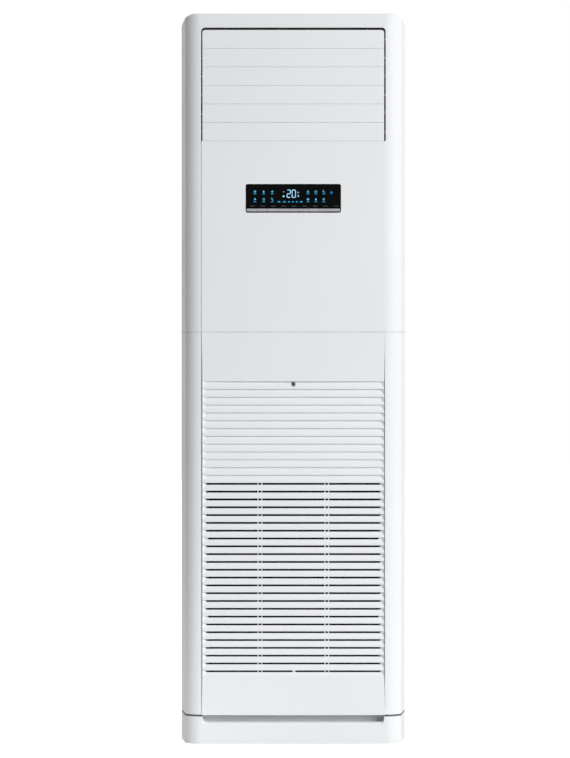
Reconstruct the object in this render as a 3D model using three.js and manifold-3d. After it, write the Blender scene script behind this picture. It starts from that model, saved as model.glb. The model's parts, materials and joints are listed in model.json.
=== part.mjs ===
// A floor standing air conditioner: a tall slim cabinet that draws room air in through the louvred
// panel of its lower half, blows it up through a leaning coil and out between six blades at the top.
// Millimetres. +X is the right of the cabinet seen from its front, the front faces -Y, +Z is up.
// The origin is on the floor under the middle of the cabinet.
import * as THREE from "three";
import { mergeVertices } from "three/addons/utils/BufferGeometryUtils.js";
import Module from "manifold-3d";

const wasm = await Module();
wasm.setup();

// ---- driving dimensions -------------------------------------------------------------------------
const WIDTH = 580;
const DEPTH = 400;
const HEIGHT = 1870;
const WALL = 3; // moulded front pieces
const SHEET = 2; // folded steel
const SEAT = 0.3; // clearance of pieces that rest on or against each other
const RUN = 0.4; // radial clearance of a pin that turns in its hole
const PANEL_GAP = 0.8; // joint between the centre panels and the columns
const SEAM = 2.2; // joint between the upper and the lower front
const TONGUE_SET = 1.5; // how far the tongue that closes the seam lies behind the face

// plan of the front
const COLUMN_WIDTH = 53.7; // a column, across its face and its side strip
const PANEL_PROUD = 1.6; // centre panels in front of the columns' faces
const FACE_DEPTH = 24; // the curved face of a column, front to back
const FLARE = 13; // how much further out the side strip ends than it starts
const STRIP_DEPTH = 82; // the flared side strip, front to back
const FLANGE_DEPTH = 22; // the lower columns' inner flanges, front to back
const PANEL_EDGE = 1; // chamfer on the upright edges of the centre panels

// heights
const PLINTH_HEIGHT = 70.4;
const PLINTH_WALL = 4;
const LIP_RISE = 8; // of the lip that centres the columns on the plinth
const PANEL_BOTTOM = 74.5;
const SEAM_Z = 1054.6;
const HEADER_BAND = 36; // above the outlet opening
const HEADER_HEIGHT = 46;
const OPENING_RADIUS = 10;
const SHOULDER_HEIGHT = 20; // rounding of the roof at the sides
const SHOULDER_WIDTH = 34;

// finger gap under the intake grille
const GAP_MARGIN = 3.8; // from the gap's end to the column's inner edge
const GAP_FLOOR = 54.8;
const GAP_DEPTH = 46;
const GAP_RADIUS = 11;
const GAP_ROUND = 4; // rounding of the gap's front edge

// intake grille
const GRILLE_THICK = 11.5;
const ROWS = 38;
const BLIND_ROWS = 13;
const ROW_PITCH = 20;
const FIRST_ROW_Z = 928.7;
const LAND = 4.4; // flat front edge of a slat, and the height of a slot
const TOOTH_DEPTH = 9;
const TOOTH_MARGIN = 2.8; // from the recess to the edge of the panel, at the front
const SLOT_MARGIN = 12.5;
const FILTER_MARGIN = 6; // from the filter's side to the end of the slots
const FILTER_THICK = 6;
const RIB_X = [81, 90.5];
const RIB = 2.7;
const STOP_ROWS = [20, 30]; // rows whose slots end in a small block
const STOP = 4.5;
const CENTRE_BLOCK = 7.7;
const TILT_PEG_R = 3;
const TILT_PEG_Z = 84;
const SCREW_Z = 922;
const SCREW_HEAD_R = 4.5;
const SCREW_SHANK_R = 2;
const RAIL_HALF = 12; // half height of the rail that takes the screw

// louvre blades
const BLADES = 6;
const BLADE_PITCH = 47.4;
const BLADE_GAP = 0.4;
const BLADE_EDGE = 0.4; // chamfer
const BLADE_TOP_GAP = 6; // under the top of the opening
const BLADE_SIDE_GAP = 3.8;
const BLADE_THICK = 3;
const BLADE_CORNER = 6.5;
const BLADE_AXIS_BACK = 12; // from the front plane to the pins
const BLADE_PIN_R = 2.5;
const CRANK = 14;
const CRANK_ANGLE = 40; // degrees above the horizontal with the blades shut
const CRANK_THICK = 2.4;
const LINK_PIN_R = 1.5;
const LINK_WIDTH = 8;
const LINK_THICK = 3;

// upright vanes behind the blades
const VANES = 6;
const VANE_MARGIN = 46.3; // from the outer vane to the cheek, for its swing
const VANE_FRONT = 11; // ahead of its pivot
const VANE_BACK = 38;
const VANE_THICK = 2;
const VANE_SETBACK = 50; // from the front plane to the pivots
const VANE_PIN_R = 2;
const VANE_CRANK = 30;
const NOTCH = 9;

// display
const WINDOW_WIDTH = 243.6;
const WINDOW_HEIGHT = 73;
const WINDOW_DROP = 110.2; // under the top of the display panel
const WINDOW_RADIUS = 5;
const WINDOW_THICK = 4;
const BUTTONS = 9;
const BUTTON_PITCH = 26.6;
const BUTTON_GAP = 0.5;
const BUTTON_HEIGHT = 7.1;
const BUTTON_MARGIN = 3; // above the window's lower edge
const BUTTON_TRAVEL = 0.8;
const BOARD_BACK = 14; // from the front plane to the display board
const BOARD = 1.6;

// fan
const FAN_Z = 430;
const FAN_R = 160;
const FAN_INNER_R = 128;
const FAN_INSET = 16; // from the bulkhead to the wheel
const FAN_LENGTH = 120;
const FAN_BLADES = 28;
const FAN_BLADE_THICK = 2.4;
const INLET_R = 138;
const SHAFT_R = 6;
const HUB_R = 20;
const SCROLL_MIN_R = 172;
const SCROLL_MAX_R = 235;
const SCROLL_TONGUE = 70; // degrees
const SCROLL_BEHIND = 12; // from the wheel to the scroll's back
const SCROLL_DROP = 2; // from the scroll's mouth to the divider
const BULKHEAD_SETBACK = 144; // from the front plane to its rear face
const MOTOR_R = 58;
const MOTOR_LENGTH = 55;

// coil, pan and outlet duct
const DIVIDER_Z = 760;
const PAN_SETBACK = 35; // from the front plane
const PAN_HEIGHT = 35;
const PAN_MARGIN = 23; // to the side panels
const COIL_MARGIN = 3.3; // from the coil's end to the plane of the duct's cheek
const COIL_LENGTH = 560;
const COIL_HEADROOM = 44.4; // between the coil and the duct
const COIL_THICK = 44;
const COIL_LEAN = 23; // degrees from upright
const END_PLATE_LIP = 3;
const HEADER_OUT = 16; // from the coil's end to the header's middle
const HEADER_R = 7;
const HEADER_END = 10;
const DUCT_RISE = 2; // of its roof over the top of the opening
const DUCT_SETBACK = 50; // from the back of the cabinet
const DUCT_BEND = 110;
const STEPPER_R = 14;
const STEPPER_LENGTH = 18;

// services
const GAS_PIPE_R = 8;
const LIQUID_PIPE_R = 5;
const HOSE_R = 9;
const OUTLET_R = 38;
const OUTLET_Z = 150;
const OUTLET_IN = 90; // from the side of the cabinet to the outlet's middle
const GROMMET_WALL = 6;
const GROMMET_SLACK = 0.8;
const PIPE_IN = 26; // from a side panel to the gas pipe
const PIPE_BEHIND = 72; // from the back of the cabinet to the pipes
const PIPE_PITCH = 18;
const HOSE_IN = 28; // from a side panel to the drain hose
const HOSE_HOLE_Z = 46;
const SPIGOT_IN = 73; // from a side panel to the drain pan's spigot
const SPIGOT_AHEAD = 54; // of the drain pan's back

// electrics
const BOX_WIDTH = 380;
const BOX_DEPTH = 90;
const BOX_ABOVE = 62; // the fan's inlet
const BOX_UNDER = 8; // the divider
const BOARD_SPAN = [-175, 60];
const BOARD_STAND = 10;
const POST_R = 3;
const DRUM_R = 9;
const DRUM_X = [-150, -125, -100];
const RELAY_X = [-60, -30, 0, 30];
const RELAY = 20;
const TERMINAL_SPAN = [85, 175];
const TERMINALS = 5;

// ---- values that follow -------------------------------------------------------------------------
const FRONT = -DEPTH / 2;
const BACK = DEPTH / 2;
const HALF = WIDTH / 2;
const FACE = FRONT + PANEL_PROUD;
const COLUMN_X = HALF - COLUMN_WIDTH;
const PANEL_X = COLUMN_X - PANEL_GAP;
const SLOT_X = PANEL_X - SLOT_MARGIN;
const CREASE_X = HALF - FLARE;
const CREASE_Y = FACE + FACE_DEPTH;
const STRIP_BACK = CREASE_Y + STRIP_DEPTH;
const SHELL_FRONT = STRIP_BACK + SEAT;
const BACK_SHEET = 3;
const SIDE_INNER = HALF - SHEET;
const SHELL_BOTTOM = PLINTH_HEIGHT + SEAT;
const ROOF_SIDE_Z = HEIGHT - SHOULDER_HEIGHT;
const SHELL_TOP = ROOF_SIDE_Z - 5;
const OPENING_TOP = HEIGHT - HEADER_BAND;
const HEADER_BOTTOM = HEIGHT - HEADER_HEIGHT;
const BLADE_AXIS_Y = FRONT + BLADE_AXIS_BACK;
const BLADE_TOP = OPENING_TOP - BLADE_TOP_GAP;
const BULKHEAD_Y = FRONT + BULKHEAD_SETBACK;
const FAN_FRONT = BULKHEAD_Y + FAN_INSET;
const SCROLL_FRONT = BULKHEAD_Y + SEAT;
const SCROLL_BACK = FAN_FRONT + FAN_LENGTH + SCROLL_BEHIND;
const SCROLL_TOP = DIVIDER_Z - SCROLL_DROP;
const CHEEK_X = COLUMN_X;
const CHEEK_FRONT = FACE + WALL + SEAT;
const GRILLE_BACK = FRONT + GRILLE_THICK;
const GRILLE_TOP = SEAM_Z - SEAM / 2;
const DISPLAY_BOTTOM = SEAM_Z + SEAM / 2;
const DISPLAY_TOP = BLADE_TOP - BLADES * BLADE_PITCH;
const WINDOW_TOP = DISPLAY_TOP - WINDOW_DROP;
const WINDOW_BOTTOM = WINDOW_TOP - WINDOW_HEIGHT;
const BUTTON_BOTTOM = WINDOW_BOTTOM + BUTTON_MARGIN;
const DUCT_FLOOR_TOP = DISPLAY_TOP - SEAT - WALL;
const DUCT_FLOOR = DUCT_FLOOR_TOP - WALL;
const DUCT_ROOF = OPENING_TOP + DUCT_RISE;
const DUCT_BACK = BACK - DUCT_SETBACK;
const VANE_PITCH = (2 * (CHEEK_X - VANE_MARGIN)) / (VANES - 1);
const VANE_PIVOT_Y = FRONT + VANE_SETBACK;
const PAN_FRONT = FRONT + PAN_SETBACK;
const PAN_BACK = BULKHEAD_Y;
const COIL_X = CHEEK_X - COIL_MARGIN;
const OUTLET_X = HALF - OUTLET_IN;
const PIPE_X = SIDE_INNER - PIPE_IN;
const PIPE_Y = BACK - PIPE_BEHIND;
const SPIGOT = [SPIGOT_IN - SIDE_INNER, PAN_BACK - SPIGOT_AHEAD];
const HOSE_HOLE = [HOSE_IN - SIDE_INNER, HOSE_HOLE_Z];
const rad = THREE.MathUtils.degToRad;
const COIL_REACH = COIL_THICK / 2 + END_PLATE_LIP; // from the coil's middle plane to its plates' edges
const COIL_FOOT = [
  PAN_FRONT + COIL_THICK / 2 + 14,
  DIVIDER_Z + SHEET + WALL + 2 * SEAT + COIL_REACH * Math.sin(rad(COIL_LEAN)),
];
const COIL_TOP = COIL_FOOT[1] + COIL_LENGTH * Math.cos(rad(COIL_LEAN)) + COIL_REACH * Math.sin(rad(COIL_LEAN));
const DUCT_LOW = COIL_TOP + COIL_HEADROOM;

// ---- solids -------------------------------------------------------------------------------------
function solid(geometry) {
  const bare = geometry.index ? geometry.toNonIndexed() : geometry.clone();
  bare.deleteAttribute("normal");
  bare.deleteAttribute("uv");
  const merged = mergeVertices(bare, 1e-4);
  return new wasm.Manifold(
    new wasm.Mesh({
      numProp: 3,
      vertProperties: merged.attributes.position.array,
      triVerts: new Uint32Array(merged.index.array),
    }),
  );
}

const join = (...pieces) => pieces.flat().reduce((whole, piece) => whole.add(piece));
const cut = (whole, ...tools) => tools.flat().reduce((rest, tool) => rest.subtract(tool), whole);

function block([x0, x1], [y0, y1], [z0, z1]) {
  const shape = new THREE.BoxGeometry(x1 - x0, y1 - y0, z1 - z0);
  return solid(shape.translate((x0 + x1) / 2, (y0 + y1) / 2, (z0 + z1) / 2));
}

// Extrudes an outline along one axis: "z" takes points (x, y), "x" points (y, z), "y" points (x, z).
const TURN = {
  z: new THREE.Matrix4(),
  x: new THREE.Matrix4().set(0, 0, 1, 0, 1, 0, 0, 0, 0, 1, 0, 0, 0, 0, 0, 1),
  y: new THREE.Matrix4().set(1, 0, 0, 0, 0, 0, -1, 0, 0, 1, 0, 0, 0, 0, 0, 1),
};

function prism(axis, outline, [from, to]) {
  const shape = new THREE.Shape(outline.map(([a, b]) => new THREE.Vector2(a, b)));
  const body = new THREE.ExtrudeGeometry(shape, { depth: to - from, bevelEnabled: false });
  body.translate(0, 0, axis === "y" ? -to : from);
  return solid(body.applyMatrix4(TURN[axis]));
}

function rod(axis, [a, b], radius, [from, to], sides = 12) {
  const around = (i) => (2 * Math.PI * (i + 0.5)) / sides;
  const ring = Array.from({ length: sides }, (_, i) => [
    a + radius * Math.cos(around(i)),
    b + radius * Math.sin(around(i)),
  ]);
  return prism(axis, ring, [from, to]);
}

// A body turned about the line through (x, z) along Y; the profile holds [radius, y] points.
// The loop runs anticlockwise on the (radius, y) plane, so one drawn the other way is turned round.
function turned([x, z], profile, sides) {
  const area = profile.reduce((sum, [r, y], i) => {
    const [nextR, nextY] = profile[(i + 1) % profile.length];
    return sum + r * nextY - nextR * y;
  }, 0);
  const loop = area > 0 ? profile : [...profile].reverse();
  const points = loop.map(([r, y]) => new THREE.Vector2(r, y));
  return solid(new THREE.LatheGeometry(points, sides).translate(x, 0, z));
}

function tube(points, radius, sides = 8, steps = points.length * 3) {
  const path = new THREE.CatmullRomCurve3(
    points.map((p) => new THREE.Vector3(...p)),
    false,
    "catmullrom",
    0.3,
  );
  const ring = new THREE.Shape();
  for (let i = 0; i < sides; i++) {
    const angle = (2 * Math.PI * i) / sides;
    const corner = [radius * Math.cos(angle), radius * Math.sin(angle)];
    if (i) ring.lineTo(...corner);
    else ring.moveTo(...corner);
  }
  return solid(new THREE.ExtrudeGeometry(ring, { steps, extrudePath: path, bevelEnabled: false }));
}

function arc([cx, cy], [rx, ry], fromDegrees, toDegrees, steps) {
  return Array.from({ length: steps + 1 }, (_, i) => {
    const angle = rad(fromDegrees + ((toDegrees - fromDegrees) * i) / steps);
    return [cx + rx * Math.cos(angle), cy + ry * Math.sin(angle)];
  });
}

function roundedBox([a0, a1], [b0, b1], radius, steps = 4, corners = [true, true, true, true]) {
  const spots = [
    [a1, b1, -1, -1, 0],
    [a0, b1, 1, -1, 90],
    [a0, b0, 1, 1, 180],
    [a1, b0, -1, 1, 270],
  ];
  return spots.flatMap(([a, b, da, db, start], i) =>
    corners[i]
      ? arc([a + da * radius, b + db * radius], [radius, radius], start, start + 90, steps)
      : [[a, b]],
  );
}

const mirrored = (outline) => outline.map(([a, b]) => [-a, b]);

// ---- scene graph --------------------------------------------------------------------------------
const FINISH = {
  white: { color: 0xe6e9eb, roughness: 0.38 },
  casing: { color: 0xe3e6e8, roughness: 0.45, metalness: 0.1 },
  silver: { color: 0xb6b7ba, roughness: 0.35, metalness: 0.6 },
  gloss: { color: 0x08090a, roughness: 0.08 },
  dark: { color: 0x2a2c2e, roughness: 0.6 },
  mesh: { color: 0x3c4044, roughness: 0.8 },
  steel: { color: 0xb9bdc0, roughness: 0.4, metalness: 0.8 },
  zinc: { color: 0x9a9ea2, roughness: 0.5, metalness: 0.7 },
  fins: { color: 0xc5c9cc, roughness: 0.5, metalness: 0.8 },
  copper: { color: 0xb86f45, roughness: 0.35, metalness: 0.9 },
  foam: { color: 0xd9dadb, roughness: 0.9 },
  fan: { color: 0x5b6064, roughness: 0.5 },
  board: { color: 0x2c5a3c, roughness: 0.6 },
  rubber: { color: 0x232425, roughness: 0.8 },
};

const unit = new THREE.Group();
unit.name = "floor_standing_air_conditioner";

function add(name, finish, body) {
  const made = body.getMesh();
  const shape = new THREE.BufferGeometry();
  shape.setAttribute("position", new THREE.BufferAttribute(made.vertProperties, made.numProp));
  shape.setIndex(new THREE.BufferAttribute(made.triVerts, 1));
  const mesh = new THREE.Mesh(shape, new THREE.MeshStandardMaterial(FINISH[finish]));
  mesh.name = name;
  unit.add(mesh);
}

// ---- casing -------------------------------------------------------------------------------------
// The front of the plan, from a column's inner edge round its curved face and along the side strip.
function frontEdge(inset) {
  const face = arc(
    [COLUMN_X, CREASE_Y],
    [CREASE_X - COLUMN_X - inset, FACE_DEPTH - inset],
    -90,
    0,
    7,
  );
  return [...face, [HALF - inset, STRIP_BACK]];
}

function plan(inset, back) {
  const right = frontEdge(inset);
  const close = back > STRIP_BACK ? [[HALF - inset, back]] : [];
  return [...right, ...close, ...mirrored([...right, ...close]).reverse()];
}

function shoulder(inset, bottom) {
  const bulge = 1.4;
  const right = [[HALF - inset, bottom]];
  for (let i = 0; i <= 5; i++) {
    const angle = rad(18 * i);
    right.push([
      HALF - SHOULDER_WIDTH - inset + SHOULDER_WIDTH * Math.cos(angle) ** (2 / bulge),
      ROOF_SIDE_Z - inset + (HEIGHT - ROOF_SIDE_Z) * Math.sin(angle) ** (2 / bulge),
    ]);
  }
  return [...right, ...mirrored(right).reverse()];
}

// The opening of the finger gap in the plane at the given depth; its front edge is rounded.
function gapOutline(depth) {
  const grow = GAP_ROUND - Math.sqrt(GAP_ROUND ** 2 - (GAP_ROUND - Math.min(depth, GAP_ROUND)) ** 2);
  const x = COLUMN_X - GAP_MARGIN;
  const low = GAP_FLOOR - grow;
  return roundedBox([-x, x], [low, HEIGHT], GAP_RADIUS, 4, [false, false, true, true]);
}

function plinth() {
  const gapX = COLUMN_X - GAP_MARGIN;
  const gapBack = FACE + GAP_DEPTH;
  const tray = cut(
    prism("z", plan(0, BACK), [0, PLINTH_HEIGHT]),
    prism("z", plan(PLINTH_WALL, BACK - PLINTH_WALL), [WALL, HEIGHT]),
  );
  const ledge = block(
    [-gapX - PLINTH_WALL, gapX + PLINTH_WALL],
    [FACE + PLINTH_WALL / 2, gapBack + PLINTH_WALL],
    [GAP_FLOOR - 2 * PLINTH_WALL, PLINTH_HEIGHT],
  );
  const depths = [-GAP_ROUND / 4, 0, 0.4, 1.2, 2.4, GAP_ROUND];
  const mouth = depths.slice(1).map((to, i) =>
    wasm.Manifold.hull([depths[i], to].map((at) => gapSlice(Math.max(at, 0), FACE + at))),
  );
  const gap = prism("y", gapOutline(GAP_ROUND), [FACE + GAP_ROUND - 1, gapBack]);
  const rise = [PLINTH_HEIGHT - PLINTH_WALL, PLINTH_HEIGHT + LIP_RISE];
  const inner = [...frontEdge(WALL + SEAT), ...frontEdge(PLINTH_WALL + WALL / 2).reverse()];
  const flange = block([0, COLUMN_X + WALL + 2 * SEAT], [FRONT, FACE + FLANGE_DEPTH + SEAT], [0, HEIGHT]);
  const lip = cut(prism("z", inner, rise), flange);
  const lips = [lip, lip.mirror([1, 0, 0])];
  add("base_plinth", "white", cut(join(tray, ledge, lips), mouth, gap));
}

// A thin slice of the gap's opening, to loft from.
function gapSlice(depth, y) {
  return prism("y", gapOutline(depth), [y, y + 1e-3]);
}

function casing() {
  const lip = 15;
  const side = [
    [HALF, SHELL_FRONT],
    [HALF, BACK - BACK_SHEET - SEAT],
    [HALF - lip, BACK - BACK_SHEET - SEAT],
    [HALF - lip, BACK - BACK_SHEET - SEAT - SHEET],
    [SIDE_INNER, BACK - BACK_SHEET - SEAT - SHEET],
    [SIDE_INNER, SHELL_FRONT + SHEET],
    [HALF - lip, SHELL_FRONT + SHEET],
    [HALF - lip, SHELL_FRONT],
  ];
  const rise = [SHELL_BOTTOM, SHELL_TOP - SEAT];
  add("right_side_panel", "casing", prism("z", side, rise));
  add("left_side_panel", "casing", prism("z", mirrored(side), rise));
  const outlet = rod("y", [OUTLET_X, OUTLET_Z], OUTLET_R, [0, DEPTH], 20);
  const swages = [500, 950, 1400].map((z) =>
    prism("x", [[BACK + 1, z - 14], [BACK - 1.5, z], [BACK + 1, z + 14]], [-HALF + 45, HALF - 45]),
  );
  const sheet = block([-HALF, HALF], [BACK - BACK_SHEET, BACK], rise);
  add("back_panel", "casing", cut(sheet, outlet, swages));
  const cap = prism("y", shoulder(0, SHELL_TOP), [SHELL_FRONT, BACK]);
  const hollow = prism("y", shoulder(SHEET, SHELL_TOP - 1), [SHELL_FRONT - 1, BACK - SHEET]);
  add("top_cover", "casing", cut(cap, hollow));
}

function columns() {
  const outer = frontEdge(0);
  const section = [...outer, ...frontEdge(WALL).reverse()];
  const flangeBack = FACE + FLANGE_DEPTH;
  const pegReach = COLUMN_X + WALL + 1; // through the flanges only
  const peg = rod("x", [BLADE_AXIS_Y, TILT_PEG_Z], TILT_PEG_R + RUN, [-pegReach, pegReach], 14);
  const low = [PANEL_BOTTOM - 0.5, SEAM_Z - SEAM / 2];
  const high = [SEAM_Z + SEAM / 2, HEADER_BOTTOM - SEAT];
  for (const [side, flip] of [["right", (p) => p], ["left", mirrored]]) {
    const flange = [
      [COLUMN_X, FACE + WALL / 2],
      [COLUMN_X + WALL, FACE + WALL / 2],
      [COLUMN_X + WALL, flangeBack],
      [COLUMN_X, flangeBack],
    ];
    const lower = join(prism("z", flip(section), low), prism("z", flip(flange), low));
    add(`lower_${side}_column`, "white", cut(lower, peg));
    const step = [...frontEdge(TONGUE_SET), ...frontEdge(WALL).reverse()];
    const tongue = prism("z", flip(step), [low[1] + SEAT, high[0] + 1]);
    add(`upper_${side}_column`, "white", join(prism("z", flip(section), high), tongue));
  }
  const roof = (inset) => prism("y", shoulder(inset, 0), [-DEPTH, DEPTH]);
  const shell = prism("z", plan(0, STRIP_BACK), [HEADER_BOTTOM, HEIGHT]).intersect(roof(0));
  const inside = prism("z", plan(WALL, STRIP_BACK + 1), [0, HEIGHT - WALL]).intersect(roof(WALL));
  const mouth = roundedBox([-COLUMN_X, COLUMN_X], [SEAM_Z, OPENING_TOP], OPENING_RADIUS);
  add("header", "white", cut(shell, inside, prism("y", mouth, [-DEPTH, 0])));
}

// ---- lower front --------------------------------------------------------------------------------
// The recess of one row: it steps back under the land above it and slopes forward to the next one,
// and its ends slope in as it goes deeper.
function toothCutter(top) {
  const bottom = top - (ROW_PITCH - LAND);
  const front = PANEL_X - TOOTH_MARGIN;
  const deep = SLOT_X - 1;
  const y = FRONT - 1e-3;
  const corners = [
    [-front, y, top], [front, y, top], [-deep, FRONT + TOOTH_DEPTH, top],
    [deep, FRONT + TOOTH_DEPTH, top], [-front, y, bottom], [front, y, bottom],
  ];
  const faces = [0, 2, 4, 1, 5, 3, 0, 1, 3, 0, 3, 2, 0, 4, 5, 0, 5, 1, 2, 3, 5, 2, 5, 4];
  const shape = new THREE.BufferGeometry();
  shape.setAttribute("position", new THREE.Float32BufferAttribute(corners.flat(), 3));
  shape.setIndex(faces);
  return solid(shape);
}

function slotCutters(row, top) {
  const stop = STOP_ROWS.includes(row) ? STOP : 0;
  const end = SLOT_X - stop;
  const solids = [...RIB_X, ...RIB_X.map((x) => -x)].map((x) => [x - RIB / 2, x + RIB / 2]);
  if (row === ROWS - 1) solids.push([-CENTRE_BLOCK / 3, (CENTRE_BLOCK * 2) / 3]);
  solids.sort((a, b) => a[0] - b[0]);
  const edges = [-end, ...solids.flat(), end];
  const cutters = [];
  for (let i = 0; i < edges.length; i += 2)
    cutters.push(block([edges[i], edges[i + 1]], [FRONT + 1, GRILLE_BACK + 1], [top - LAND, top]));
  return cutters;
}

function intakeGrille() {
  const section = [
    [-PANEL_X, GRILLE_BACK],
    [PANEL_X, GRILLE_BACK],
    [PANEL_X, FRONT + PANEL_EDGE],
    [PANEL_X - PANEL_EDGE, FRONT],
    [PANEL_EDGE - PANEL_X, FRONT],
    [-PANEL_X, FRONT + PANEL_EDGE],
  ];
  const slab = prism("z", section, [PANEL_BOTTOM, GRILLE_TOP]);
  const pocketX = PANEL_X - 10;
  const lastRow = FIRST_ROW_Z - (ROWS - 1) * ROW_PITCH;
  const pocketY = [FRONT + WALL, GRILLE_BACK + 1];
  const above = block([-pocketX, pocketX], pocketY, [FIRST_ROW_Z + 12, GRILLE_TOP - WALL]);
  const below = block([-pocketX, pocketX], pocketY, [PANEL_BOTTOM + 16, lastRow - ROW_PITCH - 4]);
  const tops = Array.from({ length: ROWS }, (_, i) => FIRST_ROW_Z - i * ROW_PITCH);
  const teeth = tops.map(toothCutter);
  const slots = tops.flatMap((top, row) => (row < BLIND_ROWS ? [] : slotCutters(row, top)));
  const collar = (wall) =>
    roundedBox([-5.5 - wall, 5.5 + wall], [SCREW_Z - 7 - wall, SCREW_Z + 7 + wall], 5.4 + wall, 4);
  const boss = prism("y", collar(WALL / 2), [FRONT + 0.5, GRILLE_BACK]);
  const bore = prism("y", collar(0), [2 * FRONT, GRILLE_BACK - SHEET]);
  const shank = rod("y", [0, SCREW_Z], SCREW_SHANK_R + RUN, [2 * FRONT, 0], 12);
  const panel = cut(join(cut(slab, above, below), boss), teeth, slots);
  const reach = [PANEL_X - 1, COLUMN_X + WALL];
  const pegs = [reach, [-reach[1], -reach[0]]].map((x) =>
    rod("x", [BLADE_AXIS_Y, TILT_PEG_Z], TILT_PEG_R, x, 14),
  );
  const ears = [reach[0], -reach[0]].map((x) =>
    block(
      x > 0 ? [x - WALL, PANEL_X] : [-PANEL_X, x + WALL],
      [BLADE_AXIS_Y - TILT_PEG_R, BLADE_AXIS_Y + TILT_PEG_R],
      [TILT_PEG_Z - TILT_PEG_R, TILT_PEG_Z + TILT_PEG_R],
    ),
  );
  add("intake_grille", "white", join(cut(panel, bore, shank), ears, pegs));
  const headY = GRILLE_BACK - SHEET - SEAT;
  const head = rod("y", [0, SCREW_Z], SCREW_HEAD_R, [headY - WALL, headY], 16);
  const cross = block([-3, 3], [headY - WALL - 1, headY - 1.4], [SCREW_Z - 0.5, SCREW_Z + 0.5]);
  const stem = rod("y", [0, SCREW_Z], SCREW_SHANK_R, [headY - 1, headY + 18], 10);
  add("grille_screw", "steel", join(cut(head, cross), stem));
}

function filter() {
  const x = SLOT_X - FILTER_MARGIN;
  const [low, high] = [FIRST_ROW_Z - ROWS * ROW_PITCH, SCREW_Z - RAIL_HALF - 1];
  const [y0, y1] = [GRILLE_BACK + SEAT, GRILLE_BACK + SEAT + FILTER_THICK];
  const frame = block([-x, x], [y0, y1], [low, high]);
  const bays = [0, 1, 2, 3].flatMap((row) =>
    [-1, 1].map((side) => {
      const height = (high - low - 50) / 4;
      const z = low + 10 + row * (height + 10);
      const across = side < 0 ? [10 - x, -5] : [5, x - 10];
      return [
        block(across, [y0 - 1, y0 + 2], [z, z + height]),
        block(across, [y1 - 2, y1 + 1], [z, z + height]),
      ];
    }),
  );
  add("air_filter", "mesh", cut(frame, bays.flat()));
}

function crossRail() {
  const y = GRILLE_BACK + 4;
  const z = SCREW_Z;
  const rail = [
    [y, z - RAIL_HALF], [y, z + RAIL_HALF], [y + 14, z + RAIL_HALF], [y + 14, z + RAIL_HALF - SHEET],
    [y + SHEET, z + RAIL_HALF - SHEET], [y + SHEET, z - RAIL_HALF],
  ];
  const reach = COLUMN_X + WALL + SEAT;
  const hole = rod("y", [0, SCREW_Z], SCREW_SHANK_R + 1.2, [2 * FRONT, 0], 12);
  const tab = (side) => block(
    side > 0 ? [COLUMN_X - 2, reach + 22] : [-reach - 22, 2 - COLUMN_X],
    [FACE + FLANGE_DEPTH + SEAT, FACE + FLANGE_DEPTH + SEAT + SHEET],
    [z - 12, z + RAIL_HALF],
  );
  const straight = prism("x", rail, [-COLUMN_X, COLUMN_X]);
  add("cross_rail", "zinc", join(cut(straight, hole), tab(1), tab(-1)));
}

// ---- upper front --------------------------------------------------------------------------------
const BLADE_HEIGHT = BLADE_PITCH - BLADE_GAP;
const bladeZ = (i) => BLADE_TOP - BLADE_HEIGHT / 2 - i * BLADE_PITCH;
const crankPin = (i) => [
  BLADE_AXIS_Y + CRANK * Math.cos(rad(CRANK_ANGLE)),
  bladeZ(i) + CRANK * Math.sin(rad(CRANK_ANGLE)),
];
const CRANK_X = CHEEK_X + WALL + 1.2;
const LINK_X = CRANK_X + CRANK_THICK + SEAT;

function louvreBlade(i) {
  const z = bladeZ(i);
  const x = COLUMN_X - BLADE_SIDE_GAP;
  const half = BLADE_HEIGHT / 2;
  const front = FRONT + 0.4;
  const section = [
    [front + BLADE_THICK, z - half], [front + BLADE_EDGE, z - half], [front, z - half + BLADE_EDGE],
    [front, z + half - BLADE_EDGE], [front + BLADE_EDGE, z + half], [front + BLADE_THICK, z + half],
  ];
  let plate = prism("x", section, [-x, x]);
  if (i === 0) {
    const face = roundedBox([-x, x], [z - half - 1, z + half], BLADE_CORNER, 4, [true, true, false, false]);
    plate = plate.intersect(prism("y", face, [-DEPTH, 0]));
  }
  const rib = prism("x", [[front + 2, z - 7], [front + 7, z], [front + 2, z + 7]], [-x + 20, x - 20]);
  const axis = [BLADE_AXIS_Y, z];
  const ear = [[front + 2, z - 7], [BLADE_AXIS_Y + 3, z - 3], [BLADE_AXIS_Y + 3, z + 3], [front + 2, z + 7]];
  const ears = [prism("x", ear, [x - WALL, x]), prism("x", ear, [-x, WALL - x])];
  const leftPin = rod("x", axis, BLADE_PIN_R, [-CHEEK_X - WALL, -x + 1], 8);
  const rightPin = rod("x", axis, BLADE_PIN_R, [x - 1, CRANK_X + CRANK_THICK], 8);
  const [pinY, pinZ] = crankPin(i);
  const [alongY, alongZ] = [(pinY - axis[0]) / CRANK, (pinZ - axis[1]) / CRANK];
  const wide = 3.1;
  const corner = (along, across) => [
    axis[0] + alongY * along - alongZ * across,
    axis[1] + alongZ * along + alongY * across,
  ];
  const arm = [
    corner(-wide, -wide), corner(CRANK + wide, -wide), corner(CRANK + wide, wide), corner(-wide, wide),
  ];
  const crank = prism("x", arm, [CRANK_X, CRANK_X + CRANK_THICK]);
  const pin = rod("x", [pinY, pinZ], LINK_PIN_R, [CRANK_X + 1, LINK_X + LINK_THICK + 1], 6);
  add(`louvre_blade_${i + 1}`, "white", join(plate, rib, ears, leftPin, rightPin, crank, pin));
}

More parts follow.
